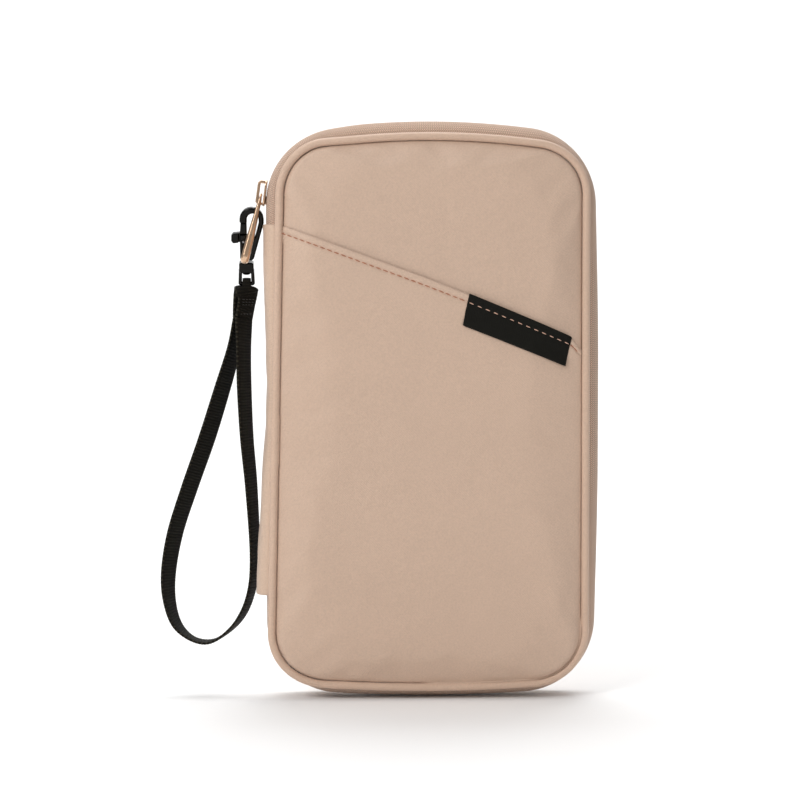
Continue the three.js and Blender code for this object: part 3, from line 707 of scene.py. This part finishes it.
def add_floor():
    """A pale floor that sweeps up far behind the object."""
    floor_z = cad_box[0].z - FLOOR_DROP
    line = [(FLOOR_FRONT, floor_z), (FLOOR_REACH, floor_z)]
    for turn in np.linspace(0, pi / 2, 17)[1:]:
        line.append((FLOOR_REACH + SWEEP_RADIUS * sin(turn),
                     floor_z + SWEEP_RADIUS * (1 - cos(turn))))
    line.append((FLOOR_REACH + SWEEP_RADIUS, WALL_TOP))
    points = [(x, y, z) for y, z in line for x in (-FLOOR_HALF, FLOOR_HALF)]
    faces = quads(len(line) - 1, 1)
    floor = shape("floor", points, faces, studio_white("studio white", (0.93, 0.93, 0.93, 1)))


def add_lights():
    world = bpy.data.worlds.new("studio")
    world.use_nodes = True
    background = world.node_tree.nodes["Background"]
    background.inputs["Color"].default_value = (1, 1, 1, 1)
    background.inputs["Strength"].default_value = WORLD_STRENGTH
    bpy.context.scene.world = world
    bpy.context.scene.view_settings.view_transform = "Standard"
    for name, place, target, size, power in STUDIO_LIGHTS:
        data = bpy.data.lights.new(name, "AREA")
        data.size, data.energy = size, power
        light = placed(name, data)
        light.location = place
        light.rotation_euler = (Vector(place) - Vector(target)).to_track_quat("Z", "Y").to_euler()


# ---------------------------------------------------------------- wrist strap
def catmull_rom(rows, step):
    """A smooth line through rows of numbers, cut into equal steps of its first three."""
    rows = np.array(rows, float)
    padded = np.vstack([2 * rows[0] - rows[1], rows, 2 * rows[-1] - rows[-2]])
    fine = []
    for here in range(1, len(rows)):
        a, b, c, d = padded[here - 1:here + 3]
        for t in np.linspace(0, 1, 60, endpoint=here == len(rows) - 1):
            fine.append(0.5 * (2 * b + (c - a) * t + (2 * a - 5 * b + 4 * c - d) * t ** 2
                               + (3 * b - a - 3 * c + d) * t ** 3))
    fine = np.array(fine)
    run = np.concatenate([[0], np.cumsum(np.linalg.norm(np.diff(fine[:, :3], axis=0), axis=1))])
    count = round(run[-1] / step)
    distances = np.linspace(0, run[-1], count + 1)
    return np.column_stack([np.interp(distances, run, column) for column in fine.T]), distances


def ribbon(name, rows, distances, widths, thickness):
    """Flat webbing along rows of X, Y, Z and turn: ribbed faces, rounded selvedges."""
    rows, points = np.asarray(rows), 18
    tangents = np.gradient(rows[:, :3], axis=0)
    tangents /= np.linalg.norm(tangents, axis=1)[:, None]
    turns = np.radians(rows[:, 3])
    across = np.column_stack([np.cos(turns), np.sin(turns), np.zeros(len(rows))])
    across -= tangents * np.sum(across * tangents, axis=1)[:, None]
    across /= np.linalg.norm(across, axis=1)[:, None]
    facing = np.cross(tangents, across)
    sections = []
    for row, distance in enumerate(distances):
        rib = 1 + 0.09 * sin(2 * pi * distance / RIB_PITCH)
        section = []
        for corner in range(points):
            turn = 2 * pi * (corner + 0.5) / points
            wide = copysign(abs(cos(turn)) ** 0.55, cos(turn)) * widths[row] / 2
            thick = copysign(abs(sin(turn)) ** 0.45, sin(turn)) * thickness / 2 * rib
            point = rows[row, :3] + across[row] * wide + facing[row] * thick
            section.append((point, (distance, wide)))
        sections.append(section)
    return strip(name, sections, WEBBING)


def add_wrist_strap():
    rows, distances = catmull_rom(STRAP_ROUTE, RIB_PITCH / 4)
    strap = ribbon("strap_webbing", rows, distances, np.full(len(rows), WEBBING_WIDTH), WEBBING_THICKNESS)
    hand_over(strap, "wrist_strap", ["wrist_strap"])
    return strap, rows[::12, :3], distances[-1]


def fold_rows():
    """The sewn ends of the strap: up the back layer, round the loop's bar, down the front layer."""
    low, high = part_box("swivel_loop")
    bar = Vector(((low.x + high.x) / 2, middle_y("strap_fold"), low.z + 0.75 * MM))
    radius = 1.15 * MM + WEBBING_THICKNESS / 2
    rows = [STRAP_ROUTE[0]]
    for x, y, z, turn in [(-2.1, 0.6, 42, 49), (-1.6, 0.6, 46, 42), (-0.6, 1.3, 48.6, 16)]:
        rows.append((bar.x + x * MM, bar.y + y * MM, z * MM, turn))
    for step in range(9):
        turn = radians(-20 + 220 * step / 8)
        rows.append((bar.x, bar.y + radius * cos(turn), bar.z + radius * sin(turn), 0))
    for x, y, z, turn in [(0.1, -1.5, 48.6, 16), (0.3, -0.9, 46, 42), (-0.3, -1, 42, 49)]:
        rows.append((bar.x + x * MM, bar.y + y * MM, z * MM, turn))
    rows.append(STRAP_ROUTE[-1])
    return catmull_rom(rows, RIB_PITCH / 4), bar


def add_strap_fold():
    (rows, distances), bar = fold_rows()
    above_bar = (rows[:, 2] - bar.z) / MM
    widths = np.interp(above_bar, [-3.6, -2.3, -1.5, -0.9], [10, 9, 6.6, 3.4]) * MM
    fold = ribbon("strap_fold_webbing", rows, distances, widths, WEBBING_THICKNESS)
    hand_over(fold, "wrist_strap", ["strap_fold"])
    front = rows[rows[:, 1] < bar.y]
    lines = []
    for height in (bar.z - 6.5 * MM, bar.z - 7.6 * MM, bar.z - 8.7 * MM, bar.z - 12.4 * MM):
        x, y, turn = (np.interp(height, front[::-1, 2], front[::-1, column]) for column in (0, 1, 3))
        wide, deep = cos(radians(turn)), sin(radians(turn))
        out = WEBBING_THICKNESS / 2 + 0.02 * MM
        lines.append([(x + u * wide + out * deep, y + u * deep - out * wide, height)
                      for u in np.linspace(-3.6 * MM, 3.6 * MM, 9)])
    bartack = stitches("strap_stitches", lines, DARK_THREAD, 1.3 * MM, 0.5 * MM, 0.16 * MM)
    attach(bartack, "wrist_strap")
    return fold, bartack


# ---------------------------------------------------------------- stitches
def stitches(name, lines, material, length, gap, radius, outward=(0, -1, 0)):
    """Short lengths of thread along each line, each dipping into the cloth at its ends."""
    outward = np.array(outward, float)
    points, faces = [], []
    rings, sides = 5, 6
    for line in lines:
        line = np.array(line, float)
        run = np.concatenate([[0], np.cumsum(np.linalg.norm(np.diff(line, axis=0), axis=1))])
        count = max(1, round(run[-1] / (length + gap)))
        pitch = run[-1] / count
        for number in range(count):
            middle = (number + 0.5) * pitch
            span = np.linspace(-length / 2, length / 2, rings)
            path = np.column_stack([np.interp(middle + span, run, column) for column in line.T])
            along = (path[-1] - path[0]) / np.linalg.norm(path[-1] - path[0])
            across = np.cross(along, outward)
            faces += tube_faces(rings, sides, start=len(points))
            for step in range(rings):
                rise = cos(pi * (step / (rings - 1) - 0.5))
                centre = path[step] + outward * radius * (1.2 * rise - 0.6)
                centre = centre + across * radius * 0.5 * (step / (rings - 1) - 0.5)
                thick = radius * (0.55 + 0.45 * rise)
                for corner in range(sides):
                    turn = 2 * pi * corner / sides
                    points.append(centre + (across * cos(turn) + outward * sin(turn)) * thick)
    return shape(name, points, faces, material)


# ---------------------------------------------------------------- covers
def add_piping(name, side):
    """Cord in a bias strip round the seam. Its ends overlap below the middle of the spine side."""
    stations, distances = spaced_stations(seam_point, 0, 10, step=0.8 * MM)
    whole = distances[-1]
    stations, distances = stations[:-1], distances[:-1]
    corners = 16
    sections = []
    for station, distance in zip(stations, distances):
        point, outside = edge_frame(seam_point, station)
        below = whole - distance
        sleeve = fade(SLEEVE_START, SLEEVE_START + 0.7 * MM, below)
        sleeve *= fade(SLEEVE_END, SLEEVE_END - 1.8 * MM, below)
        soft = noise.noise((point[0] * 120, side * 5.0, point[1] * 120))
        uneven = 1 + 0.018 * soft + SLEEVE_SWELL * sleeve
        radius = PIPING_RADIUS * uneven
        section = []
        for corner in range(corners):
            turn = 2 * pi * corner / corners
            x, z = point + outside * radius * cos(turn)
            section.append(((x, PIPING_Y[side] + radius * sin(turn), z), (distance, turn * radius)))
        sections.append(section)
    piping = strip(f"{name}_piping_cord", sections, PIPING_FABRIC, closed=True)
    hand_over(piping, f"{name}_cover", [f"{name}_piping"])


def zip_gap(station):
    """Half the gap between the tapes' edges: wider round the slider's corner."""
    return ZIP_GAP + (ZIP_END_GAP - ZIP_GAP) * (1 - fade(1.8, 2.0, station))


def add_zip_tape(name, side):
    stations, distances = spaced_stations(crest_point, *ZIP_STATIONS, step=1.6 * MM)
    steps = 9
    sections = []
    for station, distance in zip(stations, distances):
        seam, crest = np.array(seam_point(station)), np.array(crest_point(station))
        bulge = np.linalg.norm(crest - seam)
        gap = zip_gap(station)
        section = []
        for wall in (0, TAPE_THICKNESS):
            band = []
            for step in range(steps + 1):
                turn = step / steps * pi / 2
                out = sin(turn) * (1 - wall / bulge)
                place = seam + (crest - seam) * out
                depth = gap + (TAPE_SEAM - wall - gap) * cos(turn)
                band.append(((place[0], MIDDLE_Y + side * depth, place[1]), (distance, step * 1.05 * MM)))
            section += band[::-1] if wall else band
        sections.append(section)
    tape = strip(f"{name}_tape_knit", sections, TAPE)
    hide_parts(*(f"{name}_zip_tape{part}" for part in ("", "_end", "_start")))
    blend_to_cover(tape)


def add_zip_coil(name, side):
    """One nylon helix, wound along the tape's edge. The two halves mesh half a turn apart."""
    stations, distances = spaced_stations(crest_point, *ZIP_STATIONS, step=COIL_PITCH / COIL_POINTS)
    centre, lay = [], []
    for station, distance in zip(stations, distances):
        crest, outside = edge_frame(crest_point, station)
        turn = 2 * pi * distance / COIL_PITCH + (pi if side == BACK else 0)
        inwards = crest - outside * (COIL_DEPTH - COIL_HALF_DEPTH * cos(turn))
        offset = zip_gap(station) + COIL_OFFSET + COIL_HALF_WIDTH * sin(turn)
        centre.append((inwards[0], MIDDLE_Y + side * offset, inwards[1]))
        lay.append([(distance, corner * COIL_WIRE) for corner in range(COIL_SIDES)])
    rings = tube_rings(np.array(centre), COIL_WIRE, COIL_SIDES)
    coil = sweep(f"{name}_coil_helix", rings, COIL, lay=lay)
    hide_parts(*(f"{name}_zip_coil{part}" for part in ("", "_end", "_start")))
    blend_to_cover(coil)


def tube_rings(centre, radius, sides):
    """Rings round a line. Each ring's first direction follows the one before it."""
    tangents = np.gradient(centre, axis=0)
    tangents /= np.linalg.norm(tangents, axis=1)[:, None]
    normal = np.cross(tangents[0], (0.3, 1, 0.2))
    rings = []
    for point, tangent in zip(centre, tangents):
        normal = normal - tangent * np.dot(normal, tangent)
        normal /= np.linalg.norm(normal)
        other = np.cross(tangent, normal)
        turns = [2 * pi * corner / sides for corner in range(sides)]
        rings.append([point + (normal * cos(t) + other * sin(t)) * radius for t in turns])
    return np.array(rings)


def blend_to_cover(piece):
    """Bakes a zip piece's placement into its mesh."""
    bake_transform(piece)


def add_cover(name, side):
    places, faces, gaps = cover_grid(PANEL_INSET)
    outer = panel_surface(side, places, faces, gaps)
    inner = outer.copy()
    inner[:, 1] -= side * PANEL_THICKNESS
    panel = closed_sheet(f"{name}_panel_fabric", outer, inner, faces, SHELL)
    hand_over(panel, f"{name}_cover", [f"{name}_panel"])
    add_foam(name, side)
    add_lining(name, side)
    add_piping(name, side)
    add_zip_tape(name, side)
    add_zip_coil(name, side)
    return surface_finder(outer, faces, side)


def add_foam(name, side):
    places, faces, gaps = cover_grid(FOAM_INSET)
    thick = FOAM_HALF * (1 - np.exp(-gaps / (1.2 * MM)))
    middle = FOAM_MIDDLE + 0.1 * MM * soft_noise(places[:, 0], places[:, 1], 12 * MM, side)
    foam = closed_sheet(f"{name}_foam_pad", lifted(places, middle + thick, side),
                        lifted(places, middle - thick * 0.9, side), faces, FOAM, subdivide=0)
    hand_over(foam, f"{name}_cover", [f"{name}_foam"])


def add_lining(name, side):
    places, faces, gaps = cover_grid(LINING_INSET)
    soft = soft_noise(places[:, 0], places[:, 1], 17 * MM, 4 + side)
    height = LINING_HEIGHT - 0.25 * MM * np.exp(-gaps / (2 * MM)) + 0.14 * MM * soft
    lining = closed_sheet(f"{name}_lining_cloth", lifted(places, height + LINING_THICKNESS, side),
                          lifted(places, height, side), faces, LINING)
    hand_over(lining, f"{name}_cover", [f"{name}_lining"])


# ---------------------------------------------------------------- slash pocket and label
SLASH_ALONG = (SLASH_RIGHT - SLASH_LEFT).normalized()
SLASH_UP = Vector((-SLASH_ALONG.z, 0, SLASH_ALONG.x))


def sag(x, below):
    """How far the opening hangs below its straight line, fading down the pocket."""
    share = np.clip((np.asarray(x) + 5 * MM) / (61 * MM), 0, 1.1)
    end = SLASH_END_SAG * fade(55 * MM, 61 * MM, x)
    return (SLASH_SAG * share ** 1.5 + end) * np.exp(-np.maximum(below, 0) / (25 * MM))


def slash_place(along, up):
    """X and Z of a point by its distance along the slash from its left end, and above it."""
    point = SLASH_LEFT + SLASH_ALONG * along + SLASH_UP * up
    return point.x, point.z - float(sag(point.x, -up))


def below_slash(x, z):
    return -(Vector((x, 0, z)) - SLASH_LEFT).dot(SLASH_UP)


def pocket_lift(below, gap, along_share):
    """How far the pocket's cloth stands off the panel: its hem, the dimple of the stitch line,
    and a slight gape at the middle of the opening."""
    hem_end = fade(HEM_WIDTH - 0.5 * MM, HEM_WIDTH + 0.5 * MM, below)
    hem = fade(-0.1 * MM, 0.5 * MM, below) * (1 - hem_end)
    dimple = np.exp(-((below - STITCH_DROP) / (0.6 * MM)) ** 2)
    gape = np.exp(-below / (16 * MM)) * np.clip(1 - (2 * along_share - 1) ** 2, 0, 1)
    lift = 0.62 * MM + 0.55 * MM * hem - 0.4 * MM * dimple + 0.45 * MM * gape
    return lift * (1 - 0.6 * np.exp(-gap / (1.6 * MM)))


def cut_along_slash(places, faces, gaps):
    """The part of a grid below the slash, with extra rows of points along the hem."""
    work = bmesh.new()
    layer = work.verts.layers.float.new("gap")
    corners = [work.verts.new((x, 0, z)) for x, z in places]
    for corner, gap in zip(corners, gaps):
        corner[layer] = gap
    for face in faces:
        work.faces.new([corners[index] for index in face])
    for drop in HEM_ROWS:
        everything = list(work.verts) + list(work.edges) + list(work.faces)
        point = SLASH_LEFT - SLASH_UP * drop * MM
        bmesh.ops.bisect_plane(work, geom=everything, dist=1e-6, plane_co=point, plane_no=SLASH_UP,
                               clear_outer=drop == 0)
    bmesh.ops.remove_doubles(work, verts=work.verts, dist=0.05 * MM)
    work.verts.index_update()
    cut_places = np.array([(vertex.co.x, vertex.co.z) for vertex in work.verts])
    cut_gaps = np.array([vertex[layer] for vertex in work.verts])
    cut_faces = [tuple(vertex.index for vertex in face.verts) for face in work.faces]
    work.free()
    return cut_places, cut_faces, cut_gaps


def add_slash_pocket(panel_height):
    places, faces, gaps = cut_along_slash(*cover_grid(PANEL_INSET))
    length = (SLASH_RIGHT - SLASH_LEFT).length
    below = np.array([below_slash(x, z) for x, z in places])
    share = np.array([(Vector((x, 0, z)) - SLASH_LEFT).dot(SLASH_ALONG) / length for x, z in places])
    places[:, 1] -= sag(places[:, 0], below)
    base = np.array([panel_height(x, z) for x, z in places])
    drag = soft_noise(share * length, below, 11 * MM, 9.3) * np.exp(-((below - 7 * MM) / (9 * MM)) ** 2)
    outer = lifted(places, base + pocket_lift(below, gaps, share) + 0.12 * MM * drag, FRONT)
    inner = outer.copy()
    inner[:, 1] += POCKET_THICKNESS
    pocket = closed_sheet("slash_pocket_fabric", outer, inner, faces, SHELL)
    hand_over(pocket, "front_cover", ["front_slash_pocket"])
    return surface_finder(outer, faces, FRONT)


def label_surface(pocket_height, u, v):
    """A point on the label's face: u along the slash from its middle, v above the slash."""
    along = LABEL_MIDDLE + u - LABEL_SKEW * v
    x, z = slash_place(along, v)
    held = [pocket_height(*slash_place(along, min(v, -0.5 * MM) + nudge * MM)) for nudge in (-1, 0, 0.4)]
    lift = 0.3 * MM + 0.55 * MM * fade(-6 * MM, -12 * MM, v)
    press = 0.14 * MM * exp(-((v + STITCH_DROP) / (0.7 * MM)) ** 2)
    roll = 0.25 * MM * fade(0.2 * MM, 1.1 * MM, v)
    curl = 0.25 * MM * (abs(u) / LABEL_HALF) ** 6 * fade(-7 * MM, -11 * MM, v)
    return np.array([x, MIDDLE_Y - (max(held) + lift - press - roll + curl), z])


def add_label(pocket_height):
    """A plain woven label, folded over the pocket's hem and caught by its stitch line."""
    columns = np.linspace(-LABEL_HALF, LABEL_HALF, 60)
    rows = np.linspace(LABEL_BOTTOM, LABEL_TOP, 26)
    outer, lay = [], []
    for v in rows:
        for u in columns:
            frayed = 0.1 * MM * noise.noise((v * 1500, u * 90, 0.5)) if abs(u) > LABEL_HALF * 0.98 else 0
            outer.append(label_surface(pocket_height, u + frayed, v))
            lay.append((u, v))
    outer = np.array(outer)
    inner = outer + np.array([0, LABEL_THICKNESS, 0])
    faces = quads(len(rows) - 1, len(columns) - 1)
    label = closed_sheet("woven_label", outer, inner, faces, LABEL)
    mark_lay(label.data, lay + lay)
    hand_over(label, "front_cover", ["pocket_label"])


def add_pocket_stitches(pocket_height):
    """One line of topstitching along the slash, and over the label."""
    length = (SLASH_RIGHT - SLASH_LEFT).length

    def on_pocket(start, end):
        line = []
        for along in np.linspace(start, end, max(2, round((end - start) / MM))):
            x, z = slash_place(along, -STITCH_DROP)
            line.append((x, MIDDLE_Y - pocket_height(x, z) - 0.05 * MM, z))
        return line

    left = on_pocket(3 * MM, LABEL_MIDDLE - LABEL_HALF - 0.4 * MM)
    right = on_pocket(LABEL_MIDDLE + LABEL_HALF + 0.4 * MM, length - 2.6 * MM)
    seam = stitches("pocket_stitches", [left, right], THREAD, 2.6 * MM, 0.4 * MM, 0.27 * MM)
    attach(seam, "front_cover")
    over = [label_surface(pocket_height, u, -STITCH_DROP) - np.array([0, 0.05 * MM, 0])
            for u in np.linspace(-LABEL_HALF, LABEL_HALF, 45)]
    caught = stitches("label_stitches", [over], PALE_THREAD, 2.7 * MM, 0.9 * MM, 0.22 * MM)
    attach(caught, "front_cover")


# ---------------------------------------------------------------- inner pockets
def half_width_at(edge, z):
    """Half the width of the inside of an edge at a height."""
    stations = np.linspace(0, 5, 600) if z >= 0 else np.linspace(5, 10, 600)
    points = np.array([edge_point(edge, station) for station in stations])
    near = points[np.argsort(np.abs(points[:, 1] - z))[:6]]
    return float(np.max(np.abs(near[:, 0])))


def add_inner_pocket(node, cover, side, level):
    """A flat pocket sewn on the lining: cloth with a bound top edge."""
    low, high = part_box(node)
    outline = inset(SEAM, POCKET_INSET)
    surface_y = high.y if side == FRONT else low.y
    height = abs(surface_y - MIDDLE_Y)
    rows = np.unique(np.concatenate([np.linspace(low.z, high.z, 26), high.z - BINDING_ROWS]))
    columns = np.linspace(-1, 1, 33)
    inner_side, lining_side, marks = [], [], []
    for z in rows:
        band = fade(high.z - BINDING_DEPTH - 0.4 * MM, high.z - BINDING_DEPTH, z)
        for share in columns:
            x = share * half_width_at(outline, z)
            sag = 0.7 * MM * (1 - share ** 2) * fade(high.z - 25 * MM, high.z, z)
            wave = 0.06 * MM * noise.noise((x * 60, level * 3.0, z * 60))
            inner_side.append((x, height - 0.12 * MM * band + wave, z - sag))
            lining_side.append((x, height + 0.36 * MM + wave, z - sag))
            marks.append(band)
    faces = quads(len(rows) - 1, len(columns) - 1)
    slots = [1 if marks[face[0]] > 0.5 else 0 for face in faces]
    faced, backed = (np.array([(x, MIDDLE_Y + side * h, z) for x, h, z in rows_of])
                     for rows_of in (inner_side, lining_side))
    pocket = closed_sheet(f"{node}_cloth", faced, backed, faces, LINING, BINDING, slots=slots)
    hand_over(pocket, cover, [node])
    line = [(x, MIDDLE_Y + side * (h - 0.1 * MM), z - 2.5 * MM) for x, h, z in inner_side[-len(columns):]]
    sewn = stitches(f"{node}_stitches", [line[1:-1]], PALE_THREAD, 2.2 * MM, 0.7 * MM, 0.12 * MM,
                    (0, -side, 0))
    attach(sewn, cover)


# ---------------------------------------------------------------- spine
def spine_bulge(z):
    """The spine stands out a little at its top end and flares at its bottom end."""
    top = 2.6 * MM * fade(0, 76 * MM, z)
    flare = 2.6 * MM * fade(10 * MM, -70 * MM, z)
    return 3.9 * MM + top + flare


def add_spine():
    """A soft strip from seam to seam, with turned ends and slanting bias wrinkles."""
    low, high = SPINE_LOW.z, SPINE_HIGH.z
    heights = np.linspace(low, high, 120)
    steps = 26
    rings = []
    for z in heights:
        ends = max(fade(high - 2.2 * MM, high - 1.6 * MM, z),
                   fade(low + 2 * MM, low + 1.4 * MM, z))
        lower = fade(30 * MM, -30 * MM, z)
        ring = []
        for wall in (0, SPINE_THICKNESS):
            band = []
            for step in range(steps + 1):
                turn = (step / steps - 0.5) * pi
                y = SPINE_HALF * copysign(abs(sin(turn)) ** 0.9, sin(turn))
                slant = noise.noise((z * 95 - y * 130, 0.4, z * 18))
                crease = (0.2 + 0.55 * lower) * MM * slant * cos(turn)
                bulge = float(spine_bulge(z)) + crease + 0.28 * MM * ends
                if wall:
                    bulge -= wall + 0.2 * MM * ends
                x = spine_lean(z) - SEAM.half_width - max(bulge, 0.1 * MM) * cos(turn) ** 0.8
                shrink = 1 - (wall / SPINE_HALF if wall else 0)
                band.append((x, MIDDLE_Y + y * shrink, z))
            ring += band[::-1] if wall else band
        rings.append(ring)
    spine = sweep("spine_fabric", rings, SPINE_FABRIC, subdivide=1)
    hand_over(spine, "spine", ["spine_cover"])
    add_spine_lining(heights)


def add_spine_lining(heights):
    low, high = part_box("spine_lining")
    middle, steps = (low.x + high.x) / 2, 14
    rings = []
    for z in heights:
        ring = []
        for thick in (0.28 * MM, -0.28 * MM):
            band = []
            for step in range(steps + 1):
                share = 2 * step / steps - 1
                soft = 0.12 * MM * noise.noise((z * 70, share * 2, 2.5))
                x = middle + thick + soft - 0.4 * MM * share ** 4
                band.append((x, MIDDLE_Y + share * SPINE_LINING_HALF, z))
            ring += band if thick > 0 else band[::-1]
        rings.append(ring)
    lining = sweep("spine_lining_cloth", rings, LINING)
    hand_over(lining, "spine", ["spine_lining"])


# ---------------------------------------------------------------- hardware
def copied(node, name, material):
    """A new piece with a CAD node's form, its split corners welded and flat faces made whole."""
    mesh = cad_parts[node].data.copy()
    mesh.name = name
    mesh.materials.clear()
    mesh.materials.append(material)
    work = bmesh.new()
    work.from_mesh(mesh)
    bmesh.ops.remove_doubles(work, verts=work.verts, dist=0.002 * MM)
    bmesh.ops.dissolve_limit(work, angle_limit=radians(1), verts=work.verts, edges=work.edges)
    bmesh.ops.recalc_face_normals(work, faces=work.faces)
    work.to_mesh(mesh)
    work.free()
    return placed(name, mesh)


def settle(thing, body, node):
    """Applies a piece's modifiers, shades it smooth and hands it to its body."""
    shown = thing.evaluated_get(bpy.context.evaluated_depsgraph_get())
    mesh = bpy.data.meshes.new_from_object(shown)
    thing.modifiers.clear()
    thing.data = mesh
    mesh.polygons.foreach_set("use_smooth", [True] * len(mesh.polygons))
    hand_over(thing, body, [node])
    return thing


def add_cast(node, name, body, material, voxel, smoothing, puff=0.08 * MM):
    """A die-cast part: the CAD form with all its edges rounded over. Smoothing draws it in, so
    it is let out again by a hair."""
    thing = copied(node, name, material)
    remesh = thing.modifiers.new("remesh", "REMESH")
    remesh.mode = "VOXEL"
    remesh.voxel_size = voxel
    smooth = thing.modifiers.new("smooth", "SMOOTH")
    smooth.iterations = smoothing
    grown = thing.modifiers.new("grown", "DISPLACE")
    grown.mid_level = 0
    grown.strength = puff
    return settle(thing, body, node)


def add_pressed(node, name, body, material, bevel):
    """A pressed or turned part: crisp, with a narrow rounded edge."""
    thing = copied(node, name, material)
    edge = thing.modifiers.new("edge", "BEVEL")
    edge.width = bevel
    edge.segments = 2
    edge.limit_method = "ANGLE"
    edge.angle_limit = radians(28)
    edge.harden_normals = True
    piece = settle(thing, body, node)
    piece.modifiers.new("weighted", "WEIGHTED_NORMAL").keep_sharp = True
    return piece


def add_hardware():
    add_cast("zip_slider", "slider_body", "zip_slider", ROSE, 0.13 * MM, 4)
    add_cast("slider_bridge", "slider_bridge_bow", "zip_slider", ROSE, 0.12 * MM, 5)
    add_cast("pull_tab", "pull_tab_plate", "pull_tab", ROSE, 0.12 * MM, 12, 0.03 * MM)
    add_cast("clasp_hook", "hook_casting", "clasp", BLACK, 0.15 * MM, 8, 0.1 * MM)
    add_cast("clasp_gate", "gate_lever", "clasp_gate", BLACK, 0.13 * MM, 10, 0.02 * MM)
    add_cast("swivel_loop", "swivel_casting", "swivel_loop", BLACK, 0.13 * MM, 6)
    add_pressed("swivel_rivet", "swivel_stud", "clasp", BLACK, 0.12 * MM)
    add_pressed("gate_pin", "gate_pin_rod", "clasp", STEEL, 0.08 * MM)
    add_gate_spring()


def add_gate_spring():
    """A wound spring in the space of the CAD node's tube."""
    mesh = np.array([vertex.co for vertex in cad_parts["gate_spring"].data.vertices])
    centre = mesh.mean(axis=0)
    axis = np.linalg.svd(mesh - centre)[2][0]
    axis *= np.sign(axis[2])
    along = (mesh - centre) @ axis
    side = np.cross(axis, (1, 0, 0))
    side /= np.linalg.norm(side)
    other = np.cross(axis, side)
    turns, wire, radius = 6, 0.14 * MM, 0.66 * MM
    reach = along.max() - wire
    line = []
    for step in range(turns * 16 + 1):
        share = step / (turns * 16)
        turn = 2 * pi * turns * share
        spin = side * cos(turn) + other * sin(turn)
        line.append(centre + axis * reach * (2 * share - 1) + spin * radius)
    spring = sweep("gate_spring_coil", tube_rings(np.array(line), wire, 7), STEEL)
    hand_over(spring, "clasp", ["gate_spring"])


# ---------------------------------------------------------------- the scene
add_camera()
strap, strap_line, strap_length = add_wrist_strap()
fold, bartack = add_strap_fold()
add_floor()
add_lights()

front_height = add_cover("front", FRONT)
add_cover("back", BACK)
pocket_height = add_slash_pocket(front_height)
add_label(pocket_height)
add_pocket_stitches(pocket_height)
add_inner_pocket("note_pocket", "front_cover", FRONT, 0)
for card in range(1, 5):
    add_inner_pocket(f"card_pocket_{card}", "front_cover", FRONT, card)
add_inner_pocket("ticket_pocket", "back_cover", BACK, 0)
add_inner_pocket("passport_pocket", "back_cover", BACK, 1)
add_spine()
add_hardware()
